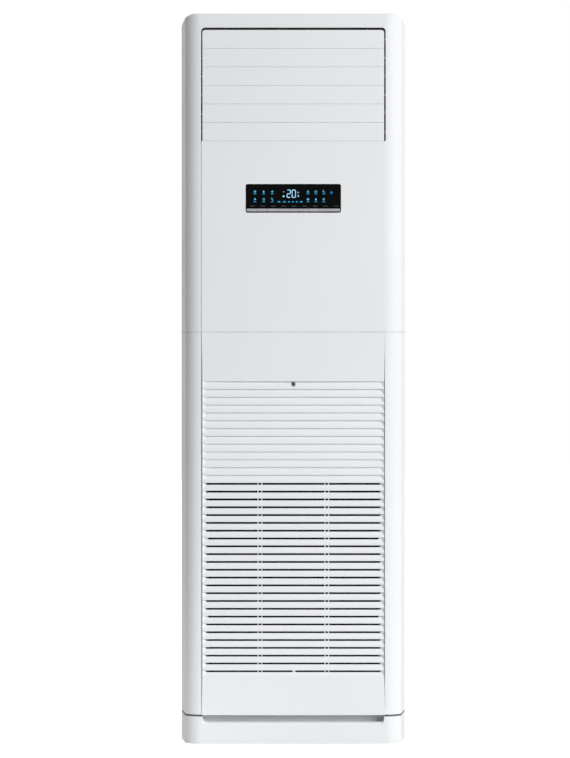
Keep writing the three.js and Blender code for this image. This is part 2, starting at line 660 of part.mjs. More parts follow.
function louvres() {
  for (let i = 0; i < BLADES; i++) louvreBlade(i);
  const [y, top] = crankPin(0);
  const bottom = crankPin(BLADES - 1)[1];
  const half = LINK_WIDTH / 2;
  const bar = roundedBox([y - half, y + half], [bottom - 7, top + 7], half - 0.2, 3);
  const holes = Array.from({ length: BLADES }, (_, i) =>
    rod("x", crankPin(i), LINK_PIN_R + RUN, [0, HALF], 8),
  );
  add("louvre_link_bar", "dark", cut(prism("x", bar, [LINK_X, LINK_X + LINK_THICK]), holes));
  const plate = -CHEEK_X - WALL - SEAT;
  const axis = [BLADE_AXIS_Y, bladeZ(2)];
  const flange = roundedBox([axis[0] - 4, axis[0] + 30], [axis[1] - 24, axis[1] + 24], 3, 2);
  const can = rod("x", [axis[0] + 16, axis[1]], STEPPER_R - 1, [plate - STEPPER_LENGTH, plate - 1], 16);
  add("louvre_motor", "zinc", join(prism("x", flange, [plate - SHEET, plate]), can));
}

const vaneX = (i) => (i - (VANES - 1) / 2) * VANE_PITCH;
const NOTCH_Z = DUCT_FLOOR_TOP + 16;

function vanes() {
  const low = DUCT_FLOOR_TOP + 5;
  const high = DUCT_ROOF - 6;
  const pinY = VANE_PIVOT_Y + VANE_CRANK;
  for (let i = 0; i < VANES; i++) {
    const x = vaneX(i);
    const half = VANE_THICK / 2;
    const leaf = [
      [x, VANE_PIVOT_Y - VANE_FRONT - 1], [x + half, VANE_PIVOT_Y - VANE_FRONT + 2],
      [x + half, VANE_PIVOT_Y + VANE_BACK], [x - half, VANE_PIVOT_Y + VANE_BACK],
      [x - half, VANE_PIVOT_Y - VANE_FRONT + 2],
    ];
    const notch = block(
      [x - 5, x + 5],
      [pinY - NOTCH, VANE_PIVOT_Y + VANE_BACK + 1],
      [NOTCH_Z, NOTCH_Z + NOTCH],
    );
    const stem = rod("z", [x, VANE_PIVOT_Y], VANE_PIN_R, [DUCT_FLOOR - 1, DUCT_ROOF + WALL], 8);
    const pin = rod("z", [x, pinY], LINK_PIN_R, [NOTCH_Z - 2, NOTCH_Z + NOTCH + 2], 6);
    add(`vane_${i + 1}`, "white", join(cut(prism("z", leaf, [low, high]), notch), stem, pin));
  }
  const middle = NOTCH_Z + NOTCH / 2;
  const end = vaneX(VANES - 1) + 7;
  const bar = roundedBox([-end, end], [pinY - 5, pinY + 5], 4, 3);
  const holes = Array.from({ length: VANES }, (_, i) =>
    rod("z", [vaneX(i), pinY], LINK_PIN_R + RUN, [middle - 9, middle + 9], 8),
  );
  const thick = [middle - LINK_THICK / 2, middle + LINK_THICK / 2];
  add("vane_link_bar", "dark", cut(prism("z", bar, thick), holes));
  const x = vaneX(3);
  const floor = DUCT_FLOOR - SEAT;
  const ear = roundedBox([x - 24, x + 24], [VANE_PIVOT_Y - 6, VANE_PIVOT_Y + 22], 3, 2);
  const can = rod("z", [x, VANE_PIVOT_Y + 8], STEPPER_R, [floor - STEPPER_LENGTH, floor - 1], 16);
  const bore = rod("z", [x, VANE_PIVOT_Y], VANE_PIN_R + RUN, [floor - 3, floor + 1], 12);
  add("vane_motor", "zinc", cut(join(prism("z", ear, [floor - SHEET, floor]), can), bore));
}

// The duct is a channel of two cheeks and a bent sheet: a floor, a roof and a back that comes down.
function outletDuct() {
  const bend = (inset) =>
    arc([DUCT_BACK - DUCT_BEND, DUCT_ROOF - DUCT_BEND], [DUCT_BEND + inset, DUCT_BEND + inset], 90, 0, 6);
  const outline = (inset) => [
    [CHEEK_FRONT, DUCT_ROOF + inset],
    ...bend(inset),
    [DUCT_BACK + inset, DUCT_LOW],
    [DUCT_BACK - 90, DUCT_LOW],
    [VANE_PIVOT_Y + 70, DUCT_FLOOR],
    [CHEEK_FRONT, DUCT_FLOOR],
  ];
  const inside = [
    [CHEEK_FRONT - 1, DUCT_ROOF],
    ...bend(0),
    [DUCT_BACK, DUCT_LOW - 1],
    [VANE_PIVOT_Y + 70 - 1, DUCT_LOW - 1],
    [VANE_PIVOT_Y + 70, DUCT_FLOOR_TOP],
    [CHEEK_FRONT - 1, DUCT_FLOOR_TOP],
  ];
  const reach = CHEEK_X + WALL;
  const body = cut(
    prism("x", outline(WALL), [-reach, reach]),
    prism("x", inside, [-CHEEK_X - 0.1, CHEEK_X + 0.1]),
  );
  const bladeHoles = Array.from({ length: BLADES }, (_, i) =>
    rod("x", [BLADE_AXIS_Y, bladeZ(i)], BLADE_PIN_R + RUN, [-HALF, HALF], 8),
  );
  const vaneHoles = Array.from({ length: VANES }, (_, i) =>
    rod("z", [vaneX(i), VANE_PIVOT_Y], VANE_PIN_R + RUN, [DUCT_LOW, HEIGHT], 8),
  );
  add("outlet_duct", "foam", cut(body, bladeHoles, vaneHoles));
}

function displayPanel() {
  const half = WINDOW_WIDTH / 2;
  const section = [
    [-PANEL_X, FRONT + 16],
    [PANEL_X, FRONT + 16],
    [PANEL_X, FRONT + PANEL_EDGE],
    [PANEL_X - PANEL_EDGE, FRONT],
    [PANEL_EDGE - PANEL_X, FRONT],
    [-PANEL_X, FRONT + PANEL_EDGE],
  ];
  const slab = prism("z", section, [DISPLAY_BOTTOM, DISPLAY_TOP]);
  const inner = PANEL_X - WALL;
  const hollow = block(
    [-inner, inner],
    [FRONT + WALL, 0],
    [DISPLAY_BOTTOM + WALL, DISPLAY_TOP - WALL],
  );
  const opening = roundedBox(
    [-half - SEAT, half + SEAT],
    [WINDOW_BOTTOM - SEAT, WINDOW_TOP + SEAT],
    WINDOW_RADIUS + SEAT,
  );
  const ductSeat = block(
    [-HALF, HALF],
    [CHEEK_FRONT - SEAT, 0],
    [DUCT_FLOOR - SEAT, DUCT_FLOOR_TOP + SEAT],
  );
  const tongue = block(
    [1 - PANEL_X, PANEL_X - 1],
    [FRONT + TONGUE_SET, FRONT + WALL],
    [GRILLE_TOP + SEAT, DISPLAY_BOTTOM + 1],
  );
  const shell = join(cut(slab, hollow), tongue);
  add("display_panel", "white", cut(shell, prism("y", opening, [-DEPTH, 0]), ductSeat));

  const plate = prism(
    "y",
    roundedBox([-half, half], [WINDOW_BOTTOM, WINDOW_TOP], WINDOW_RADIUS),
    [FRONT + 0.2, FRONT + WINDOW_THICK],
  );
  const row = (BUTTONS * BUTTON_PITCH) / 2 - BUTTON_GAP / 2;
  const slot = block(
    [-row - SEAT, row + SEAT],
    [2 * FRONT, 0],
    [BUTTON_BOTTOM - SEAT, BUTTON_BOTTOM + BUTTON_HEIGHT + SEAT],
  );
  add("display_window", "gloss", cut(plate, slot));

  const boardY = FRONT + BOARD_BACK;
  const lightBox = block(
    [-half + 8, half - 8],
    [FRONT + WINDOW_THICK + SEAT, boardY + 0.5],
    [BUTTON_BOTTOM + BUTTON_HEIGHT + 3, WINDOW_TOP - 3],
  );
  const sheet = block([-half + 3, half - 3], [boardY, boardY + BOARD], [WINDOW_BOTTOM + 1, WINDOW_TOP - 1]);
  const buttonX = (i) => (i - (BUTTONS - 1) / 2) * BUTTON_PITCH;
  const middle = BUTTON_BOTTOM + BUTTON_HEIGHT / 2;
  const stemEnd = boardY - 3.2 - BUTTON_TRAVEL - SEAT / 2;
  const switches = [];
  for (let i = 0; i < BUTTONS; i++) {
    const x = buttonX(i);
    switches.push(block([x - 3, x + 3], [boardY - 3.2, boardY + 0.5], [middle - 3, middle + 3]));
    const wide = (BUTTON_PITCH - BUTTON_GAP) / 2;
    const cap = block(
      [x - wide, x + wide],
      [FRONT, FRONT + WINDOW_THICK + 1],
      [BUTTON_BOTTOM, BUTTON_BOTTOM + BUTTON_HEIGHT],
    );
    const stem = block([x - 2, x + 2], [FRONT + 2, stemEnd], [middle - 2, middle + 2]);
    add(`button_${i + 1}`, "silver", join(cap, stem));
  }
  add("display_board", "board", join(sheet, lightBox, switches));
}

// ---- fan ----------------------------------------------------------------------------------------
// The scroll's wall opens out steadily with the angle from its tongue to the outlet side.
function scrollOutline(inset) {
  const steps = 22;
  const points = [];
  for (let i = 0; i <= steps; i++) {
    const share = i / steps;
    const angle = rad(SCROLL_TONGUE + (360 - SCROLL_TONGUE) * share);
    const r = SCROLL_MIN_R + (SCROLL_MAX_R - SCROLL_MIN_R) * share - inset;
    points.push([r * Math.cos(angle), FAN_Z + r * Math.sin(angle)]);
  }
  const tongueX = points[0][0] + 2 * inset;
  const top = SCROLL_TOP + (inset ? 1 : 0);
  return [...points, [SCROLL_MAX_R - inset, top], [tongueX, top]];
}

function fan() {
  const centre = [0, FAN_Z];
  const outer = prism("y", scrollOutline(0), [SCROLL_FRONT, SCROLL_BACK]);
  const inner = prism("y", scrollOutline(SHEET), [SCROLL_FRONT + SHEET, SCROLL_BACK - SHEET]);
  const eye = rod("y", centre, INLET_R + 15, [-DEPTH, 0], 28);
  const rear = rod("y", centre, HUB_R + 10, [0, DEPTH], 16);
  add("fan_scroll", "zinc", cut(outer, inner, eye, rear));

  const flange = BULKHEAD_Y - SHEET - SEAT;
  const bell = [
    [INLET_R + 34, flange - SHEET],
    [INLET_R + 16, flange - SHEET],
    [INLET_R, FAN_FRONT - 7],
    [INLET_R + SHEET, FAN_FRONT - 7],
    [INLET_R + 17, flange],
    [INLET_R + 34, flange],
  ];
  bell.push(bell[0]);
  add("fan_bellmouth", "dark", turned(centre, bell, 26));

  const rearY = FAN_FRONT + FAN_LENGTH;
  const disc = turned(
    centre,
    [
      [0, rearY - 42], [HUB_R, rearY - 42], [HUB_R + 4, rearY - 12], [FAN_R * 0.55, rearY - 3],
      [FAN_R, rearY - 3], [FAN_R, rearY], [0, rearY],
    ],
    FAN_BLADES,
  );
  const ring = [
    [FAN_INNER_R + 6, FAN_FRONT], [FAN_R + 2, FAN_FRONT], [FAN_R + 2, FAN_FRONT + 6],
    [FAN_INNER_R + 6, FAN_FRONT + 3],
  ];
  ring.push(ring[0]);
  const rim = turned(centre, ring, FAN_BLADES);
  const blades = Array.from({ length: FAN_BLADES }, (_, i) => fanBlade((360 * i) / FAN_BLADES, rearY));
  const shaft = rod("y", centre, SHAFT_R, [rearY - 48, SCROLL_BACK + 24], 12);
  add("fan_impeller", "fan", join(disc, rim, blades, shaft));
}

// A forward curved blade: its tip leans ahead of its root in the direction the wheel turns.
function fanBlade(turn, rearY) {
  const steps = 2;
  const lean = 11; // degrees that the tip is ahead of the root
  const at = (share, side) => {
    const r = FAN_INNER_R + (FAN_R - 1 - FAN_INNER_R) * share;
    const ahead = rad(turn + lean * share * share);
    const offset = (side * FAN_BLADE_THICK) / 2 / r;
    return [r * Math.cos(ahead + offset), FAN_Z + r * Math.sin(ahead + offset)];
  };
  const shares = Array.from({ length: steps + 1 }, (_, i) => i / steps);
  const outline = [...shares.map((s) => at(s, -1)), ...shares.reverse().map((s) => at(s, 1))];
  return prism("y", outline, [FAN_FRONT + 1, rearY - 1]);
}

function fanMount() {
  const centre = [0, FAN_Z];
  const width = HALF - PLINTH_WALL - SEAT;
  const sheet = block([-width, width], [BULKHEAD_Y - SHEET, BULKHEAD_Y], [WALL + SEAT, DIVIDER_Z - SEAT]);
  const hole = rod("y", centre, INLET_R + 18, [-DEPTH, 0], 32);
  const hose = rod("y", HOSE_HOLE, HOSE_R + 7, [-DEPTH, 0], 16);
  add("fan_bulkhead", "zinc", cut(sheet, hole, hose));

  const y = SCROLL_BACK + SEAT;
  const plate = rod("y", centre, MOTOR_R + 14, [y, y + SHEET], 24);
  const arms = [90, 210, 330].map((angle) => {
    const reach = SCROLL_MIN_R - 12;
    const [dx, dz] = [Math.cos(rad(angle)), Math.sin(rad(angle))];
    const corner = (along, across) => [dx * along - dz * across, FAN_Z + dz * along + dx * across];
    const arm = [corner(20, -16), corner(reach, -12), corner(reach, 12), corner(20, 16)];
    return prism("y", arm, [y, y + SHEET]);
  });
  const bore = rod("y", centre, SHAFT_R + 6, [0, DEPTH], 16);
  add("motor_bracket", "zinc", cut(join(plate, arms), bore));

  const start = y + SHEET + SEAT;
  const profile = [
    [0, start], [MOTOR_R + 8, start], [MOTOR_R + 8, start + 3], [MOTOR_R, start + 5],
    [MOTOR_R, start + MOTOR_LENGTH - 8], [MOTOR_R - 14, start + MOTOR_LENGTH], [0, start + MOTOR_LENGTH],
  ];
  const seat = rod("y", centre, SHAFT_R + RUN, [0, SCROLL_BACK + 25], 12);
  add("fan_motor", "dark", cut(turned(centre, profile, 24), seat));
}

// ---- coil and water -----------------------------------------------------------------------------
function divider() {
  const width = SIDE_INNER - SEAT;
  const sheet = block([-width, width], [SHELL_FRONT + SHEET + SEAT, BACK - 8], [DIVIDER_Z, DIVIDER_Z + SHEET]);
  const shelf = block([-width, width], [PAN_FRONT, SHELL_FRONT + 5], [DIVIDER_Z, DIVIDER_Z + SHEET]);
  const trimmed = shelf.intersect(prism("z", plan(2 * WALL, STRIP_BACK + 20), [0, HEIGHT]));
  const tongueX = SCROLL_MIN_R * Math.cos(rad(SCROLL_TONGUE));
  const neck = block(
    [tongueX + 5, SCROLL_MAX_R - 3],
    [SCROLL_FRONT + 4, SCROLL_BACK - 4],
    [DIVIDER_Z - 1, DIVIDER_Z + WALL],
  );
  const hose = rod("z", SPIGOT, HOSE_R + 4, [0, HEIGHT], 12);
  const pipes = block([PIPE_X - 30, PIPE_X + 14], [PIPE_Y - 28, PIPE_Y + 22], [0, HEIGHT]);
  const lipGap = block([HALF - 18, HALF], [SHELL_FRONT - 1, SHELL_FRONT + SHEET + 1], [0, HEIGHT]);
  const lipGapLeft = block([-HALF, 18 - HALF], [SHELL_FRONT - 1, SHELL_FRONT + SHEET + 1], [0, HEIGHT]);
  const board = cut(join(sheet, trimmed), neck, hose, pipes, lipGap, lipGapLeft);
  add("divider_plate", "zinc", board);
}

function drainPan() {
  const x = SIDE_INNER - PAN_MARGIN;
  const floor = DIVIDER_Z + SHEET + SEAT;
  const tray = block([-x, x], [PAN_FRONT, PAN_BACK], [floor, floor + PAN_HEIGHT]);
  const hollow = block(
    [-x + WALL, x - WALL],
    [PAN_FRONT + WALL, PAN_BACK - WALL],
    [floor + WALL, HEIGHT],
  );
  const pipe = rod("z", SPIGOT, HOSE_R - 2 - SEAT, [floor - 26, floor + 1], 12);
  const bore = rod("z", SPIGOT, HOSE_R - 4, [floor - 30, floor + 5], 12);
  add("drain_pan", "foam", cut(join(cut(tray, hollow), pipe), bore));
  const start = floor - 4;
  const [sx, sy] = SPIGOT;
  const [hx, hz] = HOSE_HOLE;
  const route = [
    [sx, sy, start], [sx, sy, start - 60], [hx, sy, start - 150], [hx, sy, hz + 254],
    [hx, sy + 4, hz + 94], [hx, BULKHEAD_Y - 18, hz + 8], [hx, BULKHEAD_Y + 20, hz - 2],
    [hx + 24, BACK - 140, hz - 18], [hx + 110, BACK - 60, hz - 26], [hx + 220, BACK - 35, hz - 28],
  ];
  const hose = tube(route, HOSE_R, 8, 22);
  const open = rod("z", SPIGOT, HOSE_R - 2, [start - 24, start + 1], 12);
  add("drain_hose", "rubber", cut(hose, open));
}

// The coil is laid out upright with its bottom edge on the origin, then leaned back and set in the pan.
const leaned = (body) => body.rotate([-COIL_LEAN, 0, 0]).translate([0, ...COIL_FOOT]);

function leanedPoint([x, y, z]) {
  const point = new THREE.Vector3(x, y, z).applyAxisAngle(new THREE.Vector3(1, 0, 0), -rad(COIL_LEAN));
  return [point.x, point.y + COIL_FOOT[0], point.z + COIL_FOOT[1]];
}

function coil() {
  const x = COIL_X;
  const half = COIL_THICK / 2;
  const finGroove = 18;
  const pack = block([-x, x], [-half, half], [0, COIL_LENGTH]);
  const grooves = Array.from({ length: finGroove - 1 }, (_, i) => {
    const at = -x + ((i + 1) * 2 * x) / finGroove;
    return [
      block([at - 1, at + 1], [-half - 1, -half + 3], [-1, COIL_LENGTH + 1]),
      block([at - 1, at + 1], [half - 3, half + 1], [-1, COIL_LENGTH + 1]),
    ];
  });
  const plates = [-1, 1].map((side) =>
    block(
      side > 0 ? [x - 1, x + SHEET] : [-x - SHEET, 1 - x],
      [-half - END_PLATE_LIP, half + END_PLATE_LIP],
      [0, COIL_LENGTH],
    ),
  );
  add("evaporator_coil", "fins", leaned(join(cut(pack, grooves.flat()), plates)));
  const bends = [];
  const pitch = COIL_LENGTH / 12;
  const bar = half - 9;
  const bendReach = 14;
  for (let i = 0; i < 11; i += 2) {
    const z = pitch * (i + 0.5);
    const from = x + SHEET + 2 * SEAT;
    const side = i % 4 ? 1 : -1;
    const route = [
      [from, side * bar, z], [from + bendReach, side * bar, z + 2],
      [from + bendReach, side * bar, z + pitch - 2], [from, side * bar, z + pitch],
    ];
    bends.push(tube(route, 4.5, 6, 4));
  }
  const headerX = x + HEADER_OUT;
  const header = tube([[headerX, 0, HEADER_END], [headerX, 0, COIL_LENGTH - HEADER_END]], HEADER_R, 8, 1);
  const feeds = Array.from({ length: 6 }, (_, i) => {
    const z = pitch * (2 * i + 1);
    const side = i % 2 ? 1 : -1;
    return tube([[headerX, 0, z], [x + bendReach + 2, side * bar, z]], 3, 6, 1);
  });
  add("refrigerant_header", "copper", leaned(join(header, bends, feeds)));
}

function pipes() {
  const foot = OUTLET_Z;
  const end = COIL_X;
  const headerX = end + HEADER_OUT;
  const top = leanedPoint([headerX, 0, COIL_LENGTH - HEADER_END + SEAT]);
  const over = leanedPoint([headerX, 0, COIL_LENGTH + 20]);
  const gasRoute = [
    top, over, [headerX + 4, over[1] + 30, over[2] + 2], [PIPE_X - 2, PIPE_Y + 12, over[2] - 60],
    [PIPE_X, PIPE_Y + 6, DIVIDER_Z + 140], [PIPE_X, PIPE_Y, DIVIDER_Z - 140], [PIPE_X, PIPE_Y, foot + 170],
    [PIPE_X - 10, PIPE_Y + 2, foot + 60], [OUTLET_X + 22, PIPE_Y + 14, foot + 12],
    [OUTLET_X + 12, BACK - 22, foot + 10],
  ];
  add("gas_pipe", "copper", tube(gasRoute, GAS_PIPE_R, 8, 20));
  const tap = leanedPoint([end + SHEET + SEAT, 16, COIL_LENGTH - 14]);
  const [liquidX, liquidY] = [PIPE_X - PIPE_PITCH, PIPE_Y - 6];
  const liquidRoute = [
    tap, [tap[0] + 8, tap[1], tap[2]], [liquidX + 2, tap[1] + 14, tap[2] - 16],
    [liquidX, liquidY, tap[2] - 90], [liquidX, liquidY, DIVIDER_Z + 140],
    [liquidX, liquidY, DIVIDER_Z - 140], [liquidX, liquidY, foot + 170],
    [liquidX - 16, liquidY - 10, foot + 40], [OUTLET_X - 12, liquidY + 22, foot - 6],
    [OUTLET_X - 14, BACK - 22, foot - 10],
  ];
  add("liquid_pipe", "copper", tube(liquidRoute, LIQUID_PIPE_R, 6, 20));
  const centre = [OUTLET_X, OUTLET_Z];
  const grip = OUTLET_R - GROMMET_SLACK;
  const profile = [
    [grip - GROMMET_WALL, BACK - 9], [grip + 5, BACK - 9], [grip + 5, BACK - BACK_SHEET - SEAT],
    [grip, BACK - BACK_SHEET - SEAT], [grip, BACK], [grip - GROMMET_WALL, BACK],
  ];
  profile.push(profile[0]);
  add("pipe_grommet", "rubber", turned(centre, profile, 16));
}

// ---- electrics ----------------------------------------------------------------------------------
function controls() {
  const y1 = BULKHEAD_Y - SHEET - SEAT;
  const y0 = y1 - BOX_DEPTH;
  const [z0, z1] = [FAN_Z + INLET_R + BOX_ABOVE, DIVIDER_Z - BOX_UNDER];
  const middle = (z0 + z1) / 2;
  const x = BOX_WIDTH / 2;
  const tray = block([-x, x], [y0, y1], [z0, z1]);
  const hollow = block([SHEET - x, x - SHEET], [y0 - 1, y1 - SHEET], [z0 + SHEET, z1 - SHEET]);
  add("control_box", "zinc", cut(tray, hollow));
  const floor = y1 - SHEET - SEAT;
  const face = floor - BOARD_STAND + 1;
  const boardZ = [z0 + 14, z1 - 14];
  const sheet = block(BOARD_SPAN, [floor - BOARD_STAND, floor - BOARD_STAND + BOARD], boardZ);
  const posts = [BOARD_SPAN[0] + 10, BOARD_SPAN[1] - 10].flatMap((at) =>
    [boardZ[0] + 2 * POST_R, boardZ[1] - 2 * POST_R].map((z) => rod("y", [at, z], POST_R, [face, floor], 6)),
  );
  const drums = DRUM_X.map((at) => rod("y", [at, middle], DRUM_R, [face - 33, face], 10));
  const relays = RELAY_X.map((at) =>
    block([at - RELAY / 2, at + RELAY / 2], [face - 17, face], [middle - 12, middle + 12]),
  );
  add("control_board", "board", join(sheet, posts, drums, relays));
  const base = block(TERMINAL_SPAN, [floor - 16, floor], [middle - 14, middle + 14]);
  const pitch = (TERMINAL_SPAN[1] - TERMINAL_SPAN[0] - 5) / TERMINALS;
  const bays = Array.from({ length: TERMINALS }, (_, i) => {
    const at = TERMINAL_SPAN[0] + 5 + i * pitch;
    return block([at, at + pitch - 5], [floor - 20, floor - 8], [middle - 8, middle + 8]);
  });
  add("terminal_block", "dark", cut(base, bays));
}

plinth();
casing();
columns();
intakeGrille();
filter();
crossRail();
louvres();
vanes();
outletDuct();
displayPanel();
fan();
fanMount();
divider();
drainPan();
coil();
pipes();
controls();

export default unit;
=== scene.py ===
"""Dresses a floor standing air conditioner: finishes for its casing, grille, blades and inner works,
smooth front columns, the lit marks on its gloss window, and a plain studio to stand in.

Run as a script, it calls the operators of its own panel one after another.
"""

import json
import math

import bmesh
import bpy
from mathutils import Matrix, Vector


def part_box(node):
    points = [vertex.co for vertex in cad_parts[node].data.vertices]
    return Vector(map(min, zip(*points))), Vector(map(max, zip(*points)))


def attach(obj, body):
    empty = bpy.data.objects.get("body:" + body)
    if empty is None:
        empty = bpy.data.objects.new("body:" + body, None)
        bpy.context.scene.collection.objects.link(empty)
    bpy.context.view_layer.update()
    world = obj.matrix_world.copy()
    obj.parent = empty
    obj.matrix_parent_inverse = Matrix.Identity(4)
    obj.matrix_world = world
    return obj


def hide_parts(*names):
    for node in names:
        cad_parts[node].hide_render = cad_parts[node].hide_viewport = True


bl_info = {
    "name": "Floor Standing Air Conditioner",
    "version": (1, 0, 0),
    "blender": (4, 5, 0),
    "location": "View3D > Sidebar > Air Conditioner",
    "description": "Finishes, display and studio for a cabinet air conditioner",
    "category": "Object",
}

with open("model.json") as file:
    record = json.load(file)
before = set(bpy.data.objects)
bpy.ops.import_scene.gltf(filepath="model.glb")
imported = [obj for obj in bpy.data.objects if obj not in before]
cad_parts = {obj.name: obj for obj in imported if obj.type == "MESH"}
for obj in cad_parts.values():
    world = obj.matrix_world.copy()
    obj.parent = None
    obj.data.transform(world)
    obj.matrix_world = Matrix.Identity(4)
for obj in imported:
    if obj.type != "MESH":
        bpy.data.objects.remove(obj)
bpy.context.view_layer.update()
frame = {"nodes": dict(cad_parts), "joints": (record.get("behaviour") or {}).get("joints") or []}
NODES = frame["nodes"]
MM = 0.001
CABINET = "cabinet"
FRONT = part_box("display_panel")[0].y

# How near counts as there, how near points are merged, and how short an edge is taken out.
TINY, CLOSE, NEAR = 0.001 * MM, 0.01 * MM, 0.05 * MM
MERGE, SHORT = 0.004 * MM, 0.002 * MM
# Turns in degrees: of flat faces, of edges that are rounded, and of sharp edges where none is rounded.
FLAT, CORNER, SHARP = 1, 50, 35
SMALL_EDGE = 0.3 * MM
ROOF_POWER = 1.4


# ---- settings ----
def colour(name, text, default):
    return bpy.props.FloatVectorProperty(
        name=name, description=text, subtype="COLOR", size=3, min=0, max=1, default=default
    )


def length(name, text, default):
    """A length, its default in millimetres."""
    return bpy.props.FloatProperty(
        name=name, description=text, subtype="DISTANCE", unit="LENGTH", min=0, default=default * MM
    )


def amount(name, text, default, top=1.0):
    return bpy.props.FloatProperty(name=name, description=text, min=0, max=top, default=default)


class AircoFinishes(bpy.types.PropertyGroup):
    """Colours and gloss of the visible materials."""

    moulding: colour("Moulding", "White plastic of the front", (0.86, 0.875, 0.89))
    paint: colour("Paint", "Powder coat of the sheet metal casing", (0.86, 0.875, 0.885))
    keys: colour("Keys", "Silver lacquer of the keys", (0.53, 0.535, 0.555))
    window: colour("Window", "Gloss black of the display window", (0.002, 0.0023, 0.0027))
    digits: colour("Digits", "Lit digits", (0.30, 0.60, 0.80))
    icons: colour("Icons", "Lit pictograms", (0.11, 0.48, 0.74))
    bars: colour("Bars", "Lit bars under the pictograms", (0.0, 0.22, 0.42))
    marker: colour("Marker", "Deep blue marker", (0.0, 0.08, 0.30))
    labels: colour("Labels", "Grey marks above the keys", (0.05, 0.055, 0.06))
    moulding_roughness: amount("Moulding roughness", "Roughness of the white plastic", 0.62)
    paint_roughness: amount("Paint roughness", "Roughness of the powder coat", 0.5)


class AircoSizes(bpy.types.PropertyGroup):
    """Sizes of the smooth front pieces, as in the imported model, and of what only shows."""

    edge: length("Edge", "Rounding of moulded edges", 0.6)
    fold: length("Fold", "Rounding of folded sheet edges", 0.8)
    wall: length("Wall", "Wall of a moulded piece", 3)
    sheet: length("Sheet", "Thickness of the top cover", 2)
    flare: length("Flare", "How much further out a side strip ends than it starts", 13)
    curve_width: length("Curve width", "Half width of the curve that a column's face follows", 50)
    curve_depth: length("Curve depth", "Half depth of that curve, which ends at the crease", 50)
    slot_drop: length("Slot drop", "How far the lower lip of an open slot goes down its tooth", 1.1)
    strip: length("Seam strip", "Gap between a centre panel and the strip beside it", 0.15)
    strip_set: length("Strip set", "How far that strip lies behind the columns' face", 0.05)
    shoulder_width: length("Shoulder width", "Rounding of the roof, across", 34)
    shoulder_height: length("Shoulder height", "Rounding of the roof, upright", 20)
    opening_top: length("Opening top", "Height of the outlet's upper edge", 1834)
    opening_radius: length("Opening radius", "Corner of the outlet", 10)
    seam: length("Seam", "Height of the seam between the columns", 2.2)
    tongue: length("Tongue", "How far the seam's tongue lies behind the face", 1.5)
    flange: length("Flange", "Depth of the lower columns' inner flanges", 22)
    peg: length("Peg hole", "Radius of the grille's peg holes", 3.4)
    plinth_wall: length("Plinth wall", "Wall of the plinth", 4)
    lip: length("Lip", "Height of the plinth's lips", 8)
    gap_margin: length("Gap margin", "From the finger gap to a column's inner edge", 3.8)
    gap_floor: length("Gap floor", "Height of the finger gap's floor", 56.1)
    gap_depth: length("Gap depth", "Depth of the finger gap", 42)
    gap_roof: length("Gap roof", "Depth at which the finger gap's sloping roof begins", 20)
    roof_height: length("Roof height", "Height of the front of that roof, behind the grille", 78)
    trough: length("Trough", "Depth of the finger gap's trough behind its front edge", 7)
    gap_radius: length("Gap radius", "Lower corners of the finger gap", 11)
    gap_round: length("Gap rounding", "Rounding of the finger gap's front edge", 9)
    foot_seam: length("Foot seam", "Open seam between a lower column and the plinth", 1.2)
    mark: length("Mark", "How far the display's marks stand out of the window", 0.1)


class AircoStudio(bpy.types.PropertyGroup):
    """Camera and light. A brightness of 1 shows a white surface as white."""

    distance: length("Distance", "From the lens to the front of the cabinet", 7000)
    eye: length("Eye height", "Height of the lens above the floor", 1008)
    lens: bpy.props.FloatProperty(
        name="Lens", description="Focal length on a 36 mm frame", min=1, default=129.9
    )
    key: amount("Key", "Brightness that the key light gives a surface that faces it", 0.82, 4)
    ahead: amount("Ahead", "Brightness of the room in front of the cabinet", 0.185, 4)
    behind: amount("Behind", "Brightness of the room behind the cabinet", 0.95, 4)
    floor_ahead: amount("Floor ahead", "Brightness of the floor in front, as it lights the cabinet", 0.22, 4)
    floor_behind: amount("Floor behind", "Brightness of the floor behind, as it lights the cabinet", 0.9, 4)
    glow_left: amount("Left glow", "Extra brightness of the floor at the left", 0.75, 4)
    glow_right: amount("Right glow", "Extra brightness of the floor at the right", 0.45, 4)
    glow_front: amount("Front glow", "Extra brightness of the floor in front", 0.33, 4)


# ---- nodes ----
def feed(tree, node, sockets):
    """Gives a node's sockets a value each, or a link from another node's socket."""
    for label, value in sockets.items():
        if isinstance(value, bpy.types.NodeSocket):
            tree.links.new(value, node.inputs[label])
        else:
            node.inputs[label].default_value = value


def add_node(tree, kind, sockets=None, **settings):
    """Adds a node with its settings, and feeds its sockets."""
    made = tree.nodes.new(kind)
    for key, value in settings.items():
        setattr(made, key, value)
    feed(tree, made, sockets or {})
    return made


def new_group(name, kind, inputs, outputs):
    """A node group with named sockets, and its input node."""
    tree = bpy.data.node_groups.new(name, kind)
    for way, sockets in (("INPUT", inputs), ("OUTPUT", outputs)):
        for label, socket in sockets.items():
            tree.interface.new_socket(label, in_out=way, socket_type=f"NodeSocket{socket}")
    return tree, tree.nodes.new("NodeGroupInput")


def spread(tree, value, low, high, start=0.3, end=0.7, **settings):
    """Maps start..end, between which noise mostly lies, to low..high."""
    sockets = {"Value": value, "From Min": start, "From Max": end, "To Min": low, "To Max": high}
    return add_node(tree, "ShaderNodeMapRange", sockets, **settings).outputs["Result"]


# ---- meshes ----
def add_object(name, data):
    made = bpy.data.objects.new(name, data)
    bpy.context.scene.collection.objects.link(made)
    return made


def recolour(mesh, material):
    mesh.materials.clear()
    mesh.materials.append(material)


def new_piece(name, mesh, material, body=CABINET):
    """Puts a new mesh of one material on a body."""
    recolour(mesh, material)
    piece = add_object(name, mesh)
    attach(piece, body)
    return piece


def modifier(piece, name, kind, **settings):
    made = piece.modifiers.new(name, kind)
    for key, value in settings.items():
        setattr(made, key, value)
    return made


